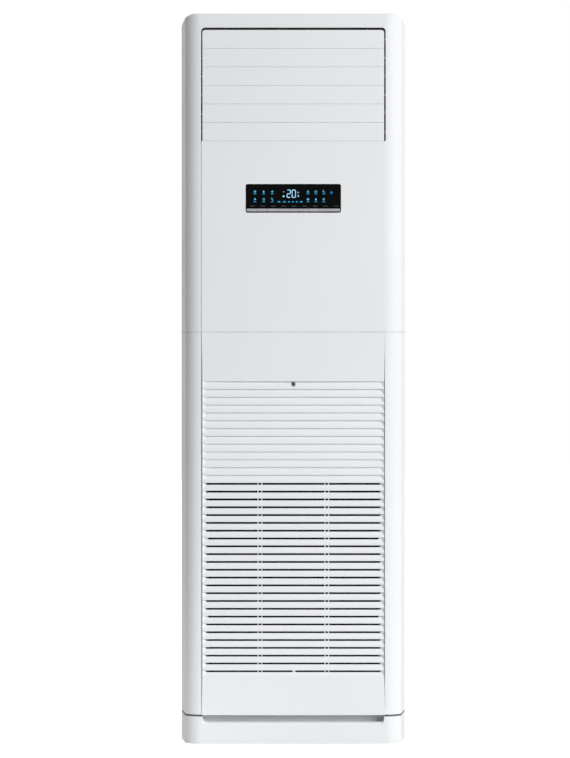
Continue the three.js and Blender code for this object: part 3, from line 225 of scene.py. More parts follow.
def smooth_group():
    """Geometry nodes that shade a mesh smooth, except across edges sharper than an angle."""
    name = "smooth_by_angle"
    if name in bpy.data.node_groups:
        return bpy.data.node_groups[name]
    sockets = {"Geometry": "Geometry", "Angle": "Float"}
    tree, start = new_group(name, "GeometryNodeTree", sockets, {"Geometry": "Geometry"})
    faces = add_node(tree, "GeometryNodeSetShadeSmooth", {"Geometry": start.outputs["Geometry"]})
    measure = tree.nodes.new("GeometryNodeInputMeshEdgeAngle")
    sharper = add_node(
        tree, "FunctionNodeCompare", {"A": measure.outputs["Unsigned Angle"], "B": start.outputs["Angle"]},
        operation="GREATER_THAN",
    )
    sockets = {
        "Geometry": faces.outputs["Geometry"], "Selection": sharper.outputs["Result"], "Shade Smooth": False,
    }
    edges = add_node(tree, "GeometryNodeSetShadeSmooth", sockets, domain="EDGE")
    add_node(tree, "NodeGroupOutput", {"Geometry": edges.outputs["Geometry"]})
    return tree


def soften(piece, width, segments=2, clean=True, sharp=12):
    """Rounds a piece's edges, and shades its curved walls smooth between edges sharper than an angle."""
    if clean:
        modifier(piece, "merge_flats", "DECIMATE", decimate_type="DISSOLVE", angle_limit=math.radians(FLAT))
    if width:
        chosen = "bevel_weight_edge" in piece.data.attributes
        modifier(
            piece, "edges", "BEVEL", width=width, segments=segments, use_clamp_overlap=True,
            limit_method="WEIGHT" if chosen else "ANGLE", angle_limit=math.radians(CORNER),
        )
    tree = smooth_group()
    smooth = modifier(piece, "smooth", "NODES", node_group=tree)
    socket = next(item for item in tree.interface.items_tree if item.name == "Angle")
    smooth[socket.identifier] = math.radians(sharp if width else SHARP)


def edges_where(mesh, test):
    """The edges whose two ends both pass a test."""
    return [edge for edge in mesh.edges if all(test(mesh.vertices[i].co) for i in edge.vertices)]


def weigh(mesh, test):
    """Marks the edges that are rounded."""
    weights = mesh.attributes.new("bevel_weight_edge", "FLOAT", "EDGE")
    for edge in edges_where(mesh, test):
        weights.data[edge.index].value = 1


def mesh_from(made, name):
    """Ends work in bmesh and gives the mesh."""
    mesh = bpy.data.meshes.new(name)
    made.to_mesh(mesh)
    made.free()
    return mesh


def skin(rows):
    """A closed mesh from quads or longer faces given as lists of points."""
    made = bmesh.new()
    for face in rows:
        made.faces.new([made.verts.new(point) for point in face])
    bmesh.ops.remove_doubles(made, verts=made.verts, dist=MERGE)
    bmesh.ops.dissolve_degenerate(made, edges=made.edges, dist=SHORT)
    bmesh.ops.recalc_face_normals(made, faces=made.faces)
    return mesh_from(made, "skin")


def strips(low, high):
    """The quads between two lines with the same number of points."""
    return [[a, b, d, c] for a, b, c, d in zip(low, low[1:], high, high[1:])]


def loft(sections):
    """A closed mesh through outlines with the same number of points."""
    closed = [[*section, section[0]] for section in sections]
    sides = [face for low, high in zip(closed, closed[1:]) for face in strips(low, high)]
    return skin([sections[0], *sides, sections[-1]])


def upright(outline, low, high):
    """A prism of a plan outline between two heights."""
    return loft([[(x, y, z) for x, y in outline] for z in (low, high)])


def deep(outline, front, back):
    """A prism of a front view outline from front to back."""
    return loft([[(x, y, z) for x, z in outline] for y in (front, back)])


def joined(*meshes):
    made = bmesh.new()
    for mesh in meshes:
        made.from_mesh(mesh)
    return mesh_from(made, "joined")


def pair(outline, low, high):
    """A prism of a plan outline at the right, and its mirror image."""
    return joined(*[upright(line, low, high) for line in (outline, mirrored(outline))])


def carved(mesh, *steps):
    """Applies boolean steps, each an operation and the mesh that it takes."""
    things = [add_object("carved", mesh), *[add_object("tool", tool) for _, tool in steps]]
    for (operation, _), tool in zip(steps, things[1:]):
        modifier(things[0], "carve", "BOOLEAN", operation=operation, object=tool, solver="EXACT")
    graph = bpy.context.evaluated_depsgraph_get()
    made = bpy.data.meshes.new_from_object(things[0].evaluated_get(graph))
    for thing in things:
        bpy.data.objects.remove(thing)
    return made


def mirrored(outline):
    return [(-a, b) for a, b in outline]


def both(right):
    """A whole outline from its right half, which runs from its first point to its last on either side."""
    return [*right, *reversed(mirrored(right))]


def quarter(steps):
    """The angles of a quarter turn."""
    return [math.pi / 2 * i / steps for i in range(steps + 1)]


class Casing:
    """The outlines of the casing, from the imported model's boxes and the panel's sizes."""

    def __init__(self):
        self.sizes = bpy.context.scene.airco_sizes
        low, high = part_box("lower_right_column")
        self.inner = low.x
        self.half = high.x
        self.face = low.y
        self.strip_back = high.y
        self.low, self.seam = low.z, high.z
        self.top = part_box("header")[1].z
        self.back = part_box("top_cover")[1].y
        crease = self.half - self.sizes.flare
        self.turn = math.asin((crease - self.inner) / self.sizes.curve_width)
        self.crease = (crease, self.face + self.sizes.curve_depth * (1 - math.cos(self.turn)))

    def edge(self, inset, steps=20):
        """The plan line of the right column, from its inner edge to the back of its side strip."""
        wide, depth = self.sizes.curve_width, self.sizes.curve_depth
        line = [
            (self.inner + (wide - inset) * math.sin(a), self.face + depth - (depth - inset) * math.cos(a))
            for a in (self.turn * i / steps for i in range(steps + 1))
        ]
        return [*line, (self.half - inset, self.strip_back)]

    def plan(self, inset, back):
        corner = [(self.half - inset, back)] if back > self.strip_back else []
        return both([*self.edge(inset), *corner])

    def roof(self, x, inset):
        """Height of the roof at a place across it."""
        out = (abs(x) - self.half + self.sizes.shoulder_width + inset) / self.sizes.shoulder_width
        side = max(0, 1 - max(0, out) ** ROOF_POWER) ** (1 / ROOF_POWER)
        return self.top - inset - self.sizes.shoulder_height * (1 - side)

    def shoulder_x(self, inset, steps):
        """Places across the rounded part of the roof, closer together where it turns down."""
        wide = self.sizes.shoulder_width
        return [
            self.half - wide - inset + wide * math.cos(a) ** (2 / ROOF_POWER)
            for a in reversed(quarter(steps))
        ]

    def shoulder(self, inset, bottom):
        places = self.shoulder_x(inset, 20)
        right = [(x, self.roof(x, inset)) for x in places]
        return both([*right, (self.half - inset, bottom)])

    def on_edge(self, at):
        """Whether a point lies on the outer plan line of the front or of a side strip."""
        x, y = abs(at.x), at.y
        wide, depth = self.sizes.curve_width, self.sizes.curve_depth
        if x < self.inner:
            return y < self.face + CLOSE
        if y < self.crease[1] - CLOSE:
            return abs(math.hypot((x - self.inner) / wide, (self.face + depth - y) / depth) - 1) < 0.01
        slope = (self.half - self.crease[0]) / (self.strip_back - self.crease[1])
        return abs(x - self.crease[0] - slope * (y - self.crease[1])) < NEAR and y <= self.strip_back

    def band(self, near, far, beyond):
        """The plan of a band along the right column, between two insets and outside a place across it."""
        lines = [[p for p in self.edge(inset) if p[0] > beyond] for inset in (near, far)]
        return [*lines[0], *reversed(lines[1])]

    def keep_crease(self, mesh):
        """Keeps the edges along the creases between the columns' faces and side strips sharp."""
        x, y = self.crease
        for edge in edges_where(mesh, lambda at: math.hypot(abs(at.x) - x, at.y - y) < NEAR):
            edge.use_edge_sharp = True


# ---- materials ----
def grain_group():
    """Fine moulded or sprayed grain: a height for bump, and a slow mask for colour and gloss."""
    name = "surface_grain"
    if name in bpy.data.node_groups:
        return bpy.data.node_groups[name]
    sockets = {"Fine": "Float", "Broad": "Float"}
    tree, start = new_group(name, "ShaderNodeTree", sockets, {"Height": "Float", "Mask": "Float"})
    place = tree.nodes.new("ShaderNodeTexCoord").outputs["Object"]
    fine, broad = (
        add_node(tree, "ShaderNodeTexNoise", {"Vector": place, "Scale": scale, "Detail": detail})
        for scale, detail in ((start.outputs["Fine"], 2), (start.outputs["Broad"], 4))
    )
    mask = spread(tree, broad.outputs["Fac"], 0, 1)
    add_node(tree, "NodeGroupOutput", {"Height": fine.outputs["Fac"], "Mask": mask})
    return tree


def finish(
    name, base, roughness, metallic=0.0, fine=900, broad=6, depth=0.02, shade=0.97, gloss=0.06,
    specular=0.5,
):
    """A material with fine grain in its height and slow drifts in its colour and gloss."""
    made = bpy.data.materials.new(name)
    made.use_nodes = True
    tree = made.node_tree
    grain = add_node(tree, "ShaderNodeGroup", {"Fine": fine, "Broad": broad}, node_tree=grain_group())
    mask = grain.outputs["Mask"]
    sockets = {"Factor": mask, "A": (*base, 1), "B": (*[c * shade for c in base], 1)}
    drift = add_node(tree, "ShaderNodeMix", sockets, data_type="RGBA", name="drift")
    sockets = {"Strength": depth, "Distance": 0.2 * MM, "Height": grain.outputs["Height"]}
    bump = add_node(tree, "ShaderNodeBump", sockets)
    feed(tree, tree.nodes["Principled BSDF"], {
        "Base Color": drift.outputs["Result"],
        "Metallic": metallic,
        "Roughness": spread(tree, mask, roughness - gloss, roughness + gloss),
        "Specular IOR Level": specular,
        "Normal": bump.outputs["Normal"],
    })
    return made


def lit(name, base, strength):
    """A lit mark of the display, a little uneven as light through a film is."""
    made = finish(name, base, 0.4, fine=300, broad=90, depth=0.01, shade=0.82)
    tree = made.node_tree
    glow = {"Emission Color": tree.nodes["drift"].outputs["Result"], "Emission Strength": strength}
    feed(tree, tree.nodes["Principled BSDF"], glow)
    return made


def shared(name, *values, **settings):
    """A material of several pieces, made once."""
    return bpy.data.materials.get(name) or finish(name, *values, **settings)


def white_moulding():
    look = bpy.context.scene.airco_finishes
    return shared(
        "white_moulding", look.moulding, look.moulding_roughness, fine=1400, broad=5, shade=0.985,
        specular=0.3,
    )


def powder_coat():
    look = bpy.context.scene.airco_finishes
    return shared(
        "powder_coat", look.paint, look.paint_roughness, fine=700, broad=4, depth=0.06, shade=0.98
    )


def dark_plastic():
    return shared("dark_plastic", (0.016, 0.017, 0.018), 0.5, depth=0.05, shade=0.8)


def galvanised():
    return shared(
        "galvanised", (0.42, 0.44, 0.45), 0.45, metallic=0.85, fine=60, broad=25, shade=0.8, gloss=0.1
    )


def board_lacquer():
    return shared("board_lacquer", (0.02, 0.09, 0.04), 0.5, fine=200)


# ---- operators ----
class PieceOperator:
    """What the operators share."""

    bl_options = {"REGISTER", "UNDO"}


def dress(material, width, *names, **shading):
    """Gives CAD pieces a material, and rounds their edges by a width."""
    for name in names:
        recolour(NODES[name].data, material)
        soften(NODES[name], width, **shading)


def numbered(stem, count):
    return [f"{stem}_{i + 1}" for i in range(count)]


def stand_in(name, mesh, material, slot, *nodes, body=CABINET, width=None, clean=False, **shading):
    """Puts a finer mesh in the place of CAD pieces."""
    Casing().keep_crease(mesh)
    piece = new_piece(name, mesh, material, body)
    soften(piece, bpy.context.scene.airco_sizes.edge if width is None else width, clean=clean, **shading)
    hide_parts(*nodes)


class AIRCO_OT_front_frame(PieceOperator, bpy.types.Operator):
    """Builds the upper front moulding: smooth columns, and the rounded roof over the outlet"""

    bl_idname = "airco.front_frame"
    bl_label = "Upper Front Frame"

    ROUNDING = 0.8 * MM
    CREASE_GAP = 0.4 * MM

    def places(self, shape, inset):
        """Points of the plan line from the middle of the front to a side strip's back."""
        radius = shape.sizes.opening_radius
        mouth = [shape.inner - radius + radius * math.sin(a) for a in quarter(8)]
        line = shape.edge(inset)
        (x0, y0), (x1, y1) = line[-2:]
        outer = [x for x in shape.shoulder_x(inset, 40) if x + inset > shape.crease[0] + self.CREASE_GAP]
        strip = [(x, y0 + (y1 - y0) * (x - x0) / (x1 - x0)) for x in outer[:-1]]
        flat = [(x, shape.face + inset) for x in (0, *mouth[:-1])]
        right = [*flat, *line[:-1], *strip, line[-1]]
        return [*reversed(mirrored(right[1:])), *right]

    def columns(self, shape, inset, bottom, rounding):
        """For each place, its points from the seam or the outlet's edge up and over the roof to the back."""
        radius, top = shape.sizes.opening_radius, shape.sizes.opening_top
        rows = []
        for x, y in self.places(shape, inset):
            out = abs(x) - shape.inner + radius
            mouth = top - radius + math.sqrt(max(0, radius ** 2 - max(0, min(out, radius)) ** 2))
            roof = shape.roof(x, inset)
            small = min(rounding, 0.5 * (shape.strip_back - y))
            lowest = bottom if abs(x) > shape.inner - TINY else mouth
            edge = [
                (x, y + small * (1 - math.cos(a)), roof - small * (1 - math.sin(a))) for a in quarter(3)
            ]
            rows.append([(x, y, lowest), (x, y, mouth), *edge, (x, shape.strip_back, roof)])
        return rows

    def execute(self, context):
        shape = Casing()
        sizes = shape.sizes
        start, low = shape.seam + sizes.seam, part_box("upper_right_column")[0].z
        outer = self.columns(shape, 0, start, self.ROUNDING)
        inner = self.columns(shape, sizes.wall, low, 0)
        step = self.places(shape, sizes.tongue)
        high_step, low_step = ([(x, y, z) for x, y in step] for z in (start, low))
        faces = []
        for i in range(len(outer) - 1):
            out, within = outer[i:i + 2], inner[i:i + 2]
            places = [row[0][0] for row in out]
            if all(abs(x) > shape.inner - TINY for x in places):
                faces += strips(*out) + strips(*within)
                ends = [[row[0] for row in rows] for rows in (out, within)]
                rim = [ends[0], high_step[i:i + 2], low_step[i:i + 2], ends[1]]
                faces += [face for lines in zip(rim, rim[1:]) for face in strips(*lines)]
            else:
                faces += strips(out[0][1:], out[1][1:]) + strips(within[0][1:], within[1][1:])
                faces += strips([row[1] for row in out], [row[1] for row in within])
            faces += strips([row[-1] for row in out], [row[-1] for row in within])
        edges = [i for i, row in enumerate(outer) if abs(abs(row[0][0]) - shape.inner) < TINY]
        for i in edges:
            faces.append([outer[i][0], outer[i][1], inner[i][1], inner[i][0], low_step[i], high_step[i]])
        for i in (0, -1):
            within = [inner[i][-1], inner[i][1], inner[i][0]]
            faces.append([*outer[i][:2], outer[i][-1], *within, low_step[i], high_step[i]])
        mesh = skin(faces)

        def is_round(at):
            mouth = abs(at.x) < shape.inner + TINY and at.z < sizes.opening_top + TINY
            seam = abs(at.z - start) < TINY and at.y < shape.strip_back - TINY
            return at.y < shape.face + TINY and mouth or seam and shape.on_edge(at)

        weigh(mesh, is_round)
        stand_in(
            "upper_front_frame", mesh, white_moulding(), "moulded_white",
            "header", "upper_right_column", "upper_left_column",
        )
        return {"FINISHED"}


class AIRCO_OT_columns(PieceOperator, bpy.types.Operator):
    """Builds the smooth lower columns with their inner flanges, and the thin strips beside the panels"""

    bl_idname = "airco.columns"
    bl_label = "Lower Columns"

    STRIP_DEPTH = 2 * MM
    STRIP_LAP = 0.1 * MM
    STRIP_LIFT = 1 * MM
    HOLE_SIDES = 20
    HOLE_MARGIN = 1 * MM

    def seam_strips(self, shape):
        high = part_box("display_panel")[1]
        near, far = high.x + shape.sizes.strip, shape.inner + self.STRIP_LAP
        front = shape.face + shape.sizes.strip_set
        back = front + self.STRIP_DEPTH
        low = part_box("intake_grille")[0].z + self.STRIP_LIFT
        mesh = pair([(near, front), (far, front), (far, back), (near, back)], low, high.z)
        soften(new_piece("seam_strips", mesh, white_moulding()), 0, clean=False)

    def execute(self, context):
        shape = Casing()
        sizes = shape.sizes
        self.seam_strips(shape)
        x = shape.inner + sizes.wall
        back = shape.face + sizes.flange
        inside = [(x, shape.face + sizes.wall)] + [p for p in shape.edge(sizes.wall) if p[0] > x]
        section = [*shape.edge(0), *reversed(inside), (x, back), (shape.inner, back)]
        tilt = next(j for j in frame["joints"] if j["name"] == "grille_tilt")["pos_m"]
        angles = [math.tau * i / self.HOLE_SIDES for i in range(self.HOLE_SIDES)]
        hole = [(tilt[1] + sizes.peg * math.cos(a), tilt[2] + sizes.peg * math.sin(a)) for a in angles]
        ends = (shape.inner - self.HOLE_MARGIN, x + self.HOLE_MARGIN)
        for side, sign, turn in (("right", 1, list), ("left", -1, mirrored)):
            rod = loft([[(sign * at, y, z) for y, z in hole] for at in ends])
            column = upright(turn(section), shape.low + sizes.foot_seam, shape.seam)
            mesh = carved(column, ("DIFFERENCE", rod))
            name = f"lower_{side}_column"
            stand_in(f"{name}_shell", mesh, white_moulding(), "moulded_white", name)
        return {"FINISHED"}


class AIRCO_OT_plinth(PieceOperator, bpy.types.Operator):
    """Builds the plinth with its rounded finger gap and lips, and dark strips of painted shade in the seams
    under the columns
    """

    bl_idname = "airco.plinth"
    bl_label = "Plinth"

    AHEAD = 5 * MM
    ABOVE = 1.0
    GAP_LEDGE = 3 * MM
    TROUGH_START = 7 * MM
    ROOF_STEP = 0.05 * MM
    ROOF_FALL = math.tan(math.radians(36))
    ROOF_CLEARANCE = 0.3 * MM
    LIP_INSETS = (3.3 * MM, 5.5 * MM)
    LIP_CLEARANCE = 0.6 * MM
    # Insets and overlap of the dark strips that paint the shade in the seams under the columns.
    SHADE_STRIP_INSETS = (1 * MM, 3 * MM)
    SHADE_STRIP_LAP = 0.2 * MM

    def gap(self, shape):
        """The finger gap: over a rounded edge into a trough, under a roof that slopes down to its back."""
        sizes = shape.sizes
        reach, radius, rounding = shape.inner - sizes.gap_margin, sizes.gap_radius, sizes.gap_round
        floor, roof, trough = sizes.gap_floor, sizes.gap_roof, sizes.gap_floor - sizes.trough
        edge = [(rounding * (1 - math.cos(a)), floor - rounding * (1 - math.sin(a))) for a in quarter(8)]
        edge += [(rounding + self.GAP_LEDGE, floor), (rounding + self.TROUGH_START, trough)]
        edge += [(roof - self.ROOF_STEP, trough), (roof, trough), (sizes.gap_depth, trough)]
        sections = []
        for depth, low in [(-self.AHEAD, floor - rounding), *edge]:
            high = self.ABOVE if depth < roof else sizes.roof_height - (depth - roof) * self.ROOF_FALL
            side = [
                (reach - radius + radius * math.sin(a), low + min(radius, high - low) * (1 - math.cos(a)))
                for a in quarter(10)
            ]
            sections.append([(x, shape.face + depth, z) for x, z in both([*side, (reach, high)])])
        return loft(sections)

    def execute(self, context):
        shape = Casing()
        sizes = shape.sizes
        wall = sizes.plinth_wall
        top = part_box("base_plinth")[1].z - sizes.lip
        reach = shape.inner - sizes.gap_margin + wall
        back = shape.face + sizes.gap_depth + wall
        ledge = both([(reach, shape.face + wall / 2), (reach, back)])
        inside = reach - wall - self.ROOF_CLEARANCE
        roof = both([(inside, shape.face + sizes.gap_roof), (inside, back)])
        walls = carved(
            upright(shape.plan(0, shape.back), 0, top),
            ("DIFFERENCE", upright(shape.plan(wall, shape.back - wall), sizes.wall, self.ABOVE)),
            ("UNION", upright(ledge, sizes.gap_floor - sizes.trough - wall, top)),
            ("UNION", upright(roof, top - wall, sizes.roof_height)),
            ("DIFFERENCE", self.gap(shape)),
        )
        # Dark plastic strips in the seam under each lower column: painted shade, standing in for the shadow
        # in that seam.
        shade_strip_outline = shape.band(*self.SHADE_STRIP_INSETS, shape.inner)
        shade_strips_mesh = pair(shade_strip_outline, top - self.SHADE_STRIP_LAP, shape.low + sizes.foot_seam + self.SHADE_STRIP_LAP)
        soften(new_piece("foot_painted_shade_strips", shade_strips_mesh, dark_plastic()), 0, clean=False)
        lip = shape.band(*self.LIP_INSETS, shape.inner + sizes.wall + self.LIP_CLEARANCE)
        mesh = joined(walls, pair(lip, top - wall, top + sizes.lip))

        def is_round(at):
            level = abs(at.z) < CLOSE or abs(at.z - top) < CLOSE
            return level and (shape.on_edge(at) or at.y > shape.strip_back and (
                abs(abs(at.x) - shape.half) < CLOSE or abs(at.y - shape.back) < CLOSE))

        weigh(mesh, is_round)
        stand_in("plinth_shell", mesh, white_moulding(), "moulded_white", "base_plinth")
        return {"FINISHED"}


class AIRCO_OT_casing(PieceOperator, bpy.types.Operator):
    """Finishes the side panels and the back panel, and builds the smooth top cover"""

    bl_idname = "airco.casing"
    bl_label = "Casing"

    FOLDED = 16
    COVER_ROUNDING = 0.5 * MM
    OPEN = 1 * MM

    def execute(self, context):
        shape = Casing()
        sizes = shape.sizes
        sheets = ("left_side_panel", "right_side_panel", "back_panel")
        dress(powder_coat(), sizes.fold, *sheets, sharp=self.FOLDED)
        low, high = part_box("top_cover")
        inside = shape.shoulder(sizes.sheet, low.z - self.OPEN)
        cover = carved(
            deep(shape.shoulder(0, low.z), low.y, high.y),
            ("DIFFERENCE", deep(inside, low.y - self.OPEN, high.y - sizes.sheet)),
        )
        stand_in(
            "top_cover_shell", cover, powder_coat(), "painted_casing", "top_cover",
            width=self.COVER_ROUNDING, sharp=self.FOLDED,
        )
        return {"FINISHED"}


class AIRCO_OT_front(PieceOperator, bpy.types.Operator):
    """Finishes the intake grille, its screw, the filter and the display panel"""

    bl_idname = "airco.front"
    bl_label = "Front Panels"

    # The rows of the grille, in millimetres: the upper ones are blind, and each lower one has a slot.
    ROW_PITCH = 20.0
    BLIND_ROWS = 13
    SLOTS = 25
    FIRST_ROW = 928.7
    FIRST_SLOT = FIRST_ROW - 4.4 - BLIND_ROWS * ROW_PITCH
    TOOTH_DEPTH = 9.0
    TOOTH_SLOPE = TOOTH_DEPTH / 15.6
    LIP_FRONT, LIP_BACK = 2.0, 11.0
    BLIND_FORWARD, BLIND_DOWN = 2.8 * MM, 1.0 * MM
    NEAR_ROW, NEAR_DEPTH = 0.002, 0.01

    def grille(self, down):
        """The grille with taller slots, whose lower lips go further down the teeth, and softer blind rows."""
        mesh = NODES["intake_grille"].data.copy()
        for vertex in mesh.vertices:
            far = (vertex.co.y - FRONT) / MM
            row = (self.FIRST_ROW - vertex.co.z / MM) / self.ROW_PITCH
            slot = (self.FIRST_SLOT - vertex.co.z / MM) / self.ROW_PITCH
            on_row, on_slot = (abs(at - round(at)) < self.NEAR_ROW for at in (row, slot))
            if on_row and abs(far - self.TOOTH_DEPTH) < self.NEAR_DEPTH and 0 < row < self.BLIND_ROWS - 0.5:
                vertex.co.y -= self.BLIND_FORWARD
                vertex.co.z -= self.BLIND_DOWN
            elif on_slot and far > self.LIP_FRONT and 0 <= round(slot) < self.SLOTS:
                vertex.co.z -= down
                if far < self.LIP_BACK:
                    vertex.co.y -= down * self.TOOTH_SLOPE
        return mesh

    def execute(self, context):
        sizes = context.scene.airco_sizes
        stand_in(
            "grille_panel", self.grille(sizes.slot_drop), white_moulding(), "moulded_white", "intake_grille",
            body="grille_door", width=0.2 * MM, segments=1, clean=True,
        )
        screw = finish("plated_screw", (0.25, 0.26, 0.27), 0.35, metallic=0.9, fine=500, shade=0.7)
        # Near black: partly the filter's own colour, partly painted shade that darkens what shows through the
        # grille's slots.
        mesh = finish("filter_mesh", (0.012, 0.013, 0.014), 0.9, fine=1600, depth=0.6, shade=0.6)
        dress(white_moulding(), sizes.edge, "display_panel")
        dress(screw, SMALL_EDGE, "grille_screw")
        dress(mesh, 0, "air_filter")
        return {"FINISHED"}


class AIRCO_OT_blades(PieceOperator, bpy.types.Operator):
    """Finishes the outlet blades, the swing vanes, their link bars and motors, and the duct"""

    bl_idname = "airco.blades"
    bl_label = "Outlet Blades"

    def execute(self, context):
        foam = finish("moulded_foam", (0.70, 0.71, 0.72), 0.9, fine=260, broad=40, depth=0.5, shade=0.9)
        dress(white_moulding(), SMALL_EDGE, *numbered("louvre_blade", 6))
        dress(white_moulding(), 0, *numbered("vane", 6))
        dress(dark_plastic(), SMALL_EDGE, "louvre_link_bar", "vane_link_bar")
        dress(galvanised(), 0, "louvre_motor", "vane_motor")
        dress(foam, 0, "outlet_duct")
        return {"FINISHED"}


# ---- display, in millimetres from its middle and up from the floor ----
def plates(outlines, front, back):
    """Closed flat shapes between two depths."""
    made = bmesh.new()
    for outline in outlines:
        near, far = ([made.verts.new((x * MM, y, z * MM)) for x, z in outline] for y in (front, back))
        made.faces.new(near)
        made.faces.new(reversed(far))
        for i in range(len(outline)):
            j = (i + 1) % len(outline)
            made.faces.new((near[j], near[i], far[i], far[j]))
    bmesh.ops.recalc_face_normals(made, faces=made.faces)
    return mesh_from(made, "plates")


def around(x, z, radius, angle):
    return x + radius * math.cos(angle), z + radius * math.sin(angle)


def turns(count, start=0):
    """Evenly spaced angles of a whole turn."""
    return [math.radians(start) + math.tau * i / count for i in range(count)]


def bar(x, z, wide, high, turn=0.0, cut=0.3):
    """A small bar with cut corners, as a list with one outline."""
    c = cut * min(wide, high)
    a, b = wide / 2, high / 2
    left = [(c - a, b), (-a, b - c), (-a, c - b), (c - a, -b)]
    corners = [(a - c, b), *left, (a - c, -b), (a, c - b), (a, b - c)]
    s, k = math.sin(turn), math.cos(turn)
    return [[(x + k * u - s * v, z + s * u + k * v) for u, v in corners]]


def ring(x, z, radius, thick, start=0, end=360, steps=14):
    """A ring or an arc, as a list of quads."""
    angles = [math.radians(start + (end - start) * i / steps) for i in range(steps + 1)]
    inner, outer = ([around(x, z, r, a) for a in angles] for r in (radius - thick, radius))
    return [list(corners) for corners in zip(inner, outer, outer[1:], inner[1:])]


def disc(x, z, radius, steps=14):
    return [[around(x, z, radius, a) for a in turns(steps)]]


def flake(x, z, size):
    """Six crossed arms with short branches."""
    shapes = []
    for turn in turns(6, 30):
        shapes += bar(*around(x, z, size / 2, turn), size, 0.8, turn)
        for out in (turn - math.radians(48), turn + math.radians(48)):
            middle = around(*around(x, z, 0.55 * size, turn), 0.2 * size, out)
            shapes += bar(*middle, 0.42 * size, 0.6, out)
    return shapes


def drop(x, z, size):
    """A drop: a round foot drawn up to a point."""
    angles = [math.radians(150 + 240 * i / 10) for i in range(11)]
    return [[(x, z + size), *[around(x, z - 0.3 * size, 0.6 * size, a) for a in angles]]]


def sun(x, z, size):
    shapes = disc(x, z, 0.45 * size)
    for turn in turns(8):
        shapes += bar(*around(x, z, 0.8 * size, turn), 0.4 * size, 0.6, turn)
    return shapes


def fan(x, z, size):
    shapes = disc(x, z, 0.22 * size)
    for turn in turns(3, 90):
        side, middle = turn + math.pi / 2, around(x, z, 0.55 * size, turn)
        blade = []
        for a in turns(10):
            along = around(*middle, 0.45 * size * math.cos(a), turn)
            blade.append(around(*along, 0.27 * size * math.sin(a), side))
        shapes.append(blade)
    return shapes


def clock(x, z, size):
    shapes = ring(x, z, 0.9 * size, 0.7)
    shapes += bar(x, z + 0.25 * size, 0.6, 0.6 * size)
    return shapes + bar(x + 0.2 * size, z, 0.5 * size, 0.6)


def waves(x, z, size):
    shapes = []
    for row in (-1, 0, 1):
        for half, turn in ((-1, 0), (1, 180)):
            at = (x + half * 0.42 * size, z + row * 0.55 * size - 0.1 * size * half)
            shapes += ring(*at, 0.5 * size, 0.6, 20 + turn, 160 + turn, 6)
    return shapes


SEGMENTS = {
    "top": (0, 1, 0), "middle": (0, 0, 0), "bottom": (0, -1, 0),
    "upper_left": (-1, 0.5, 1), "lower_left": (-1, -0.5, 1),
    "upper_right": (1, 0.5, 1), "lower_right": (1, -0.5, 1),
}
DIGITS = {
    "0": ("top", "bottom", "upper_left", "lower_left", "upper_right", "lower_right"),
    "2": ("top", "middle", "bottom", "upper_right", "lower_left"),
}


def digit(figure, x, z, wide, high, thick):
    """A seven segment figure, its segments mitred where they meet."""
    shapes = []
    a, b, h = (wide - thick) / 2, (high - thick) / 2, thick / 2
    gap = 0.25
    for name in DIGITS[figure]:
        across, up, stands = SEGMENTS[name]
        half = (b / 2 if stands else a) - gap
        line = [(half, 0), (half - h, h), (h - half, h), (-half, 0), (h - half, -h), (half - h, -h)]
        if stands:
            line = [(-v, u) for u, v in line]
        shapes.append([(x + across * a + u, z + up * b + v) for u, v in line])
    return shapes


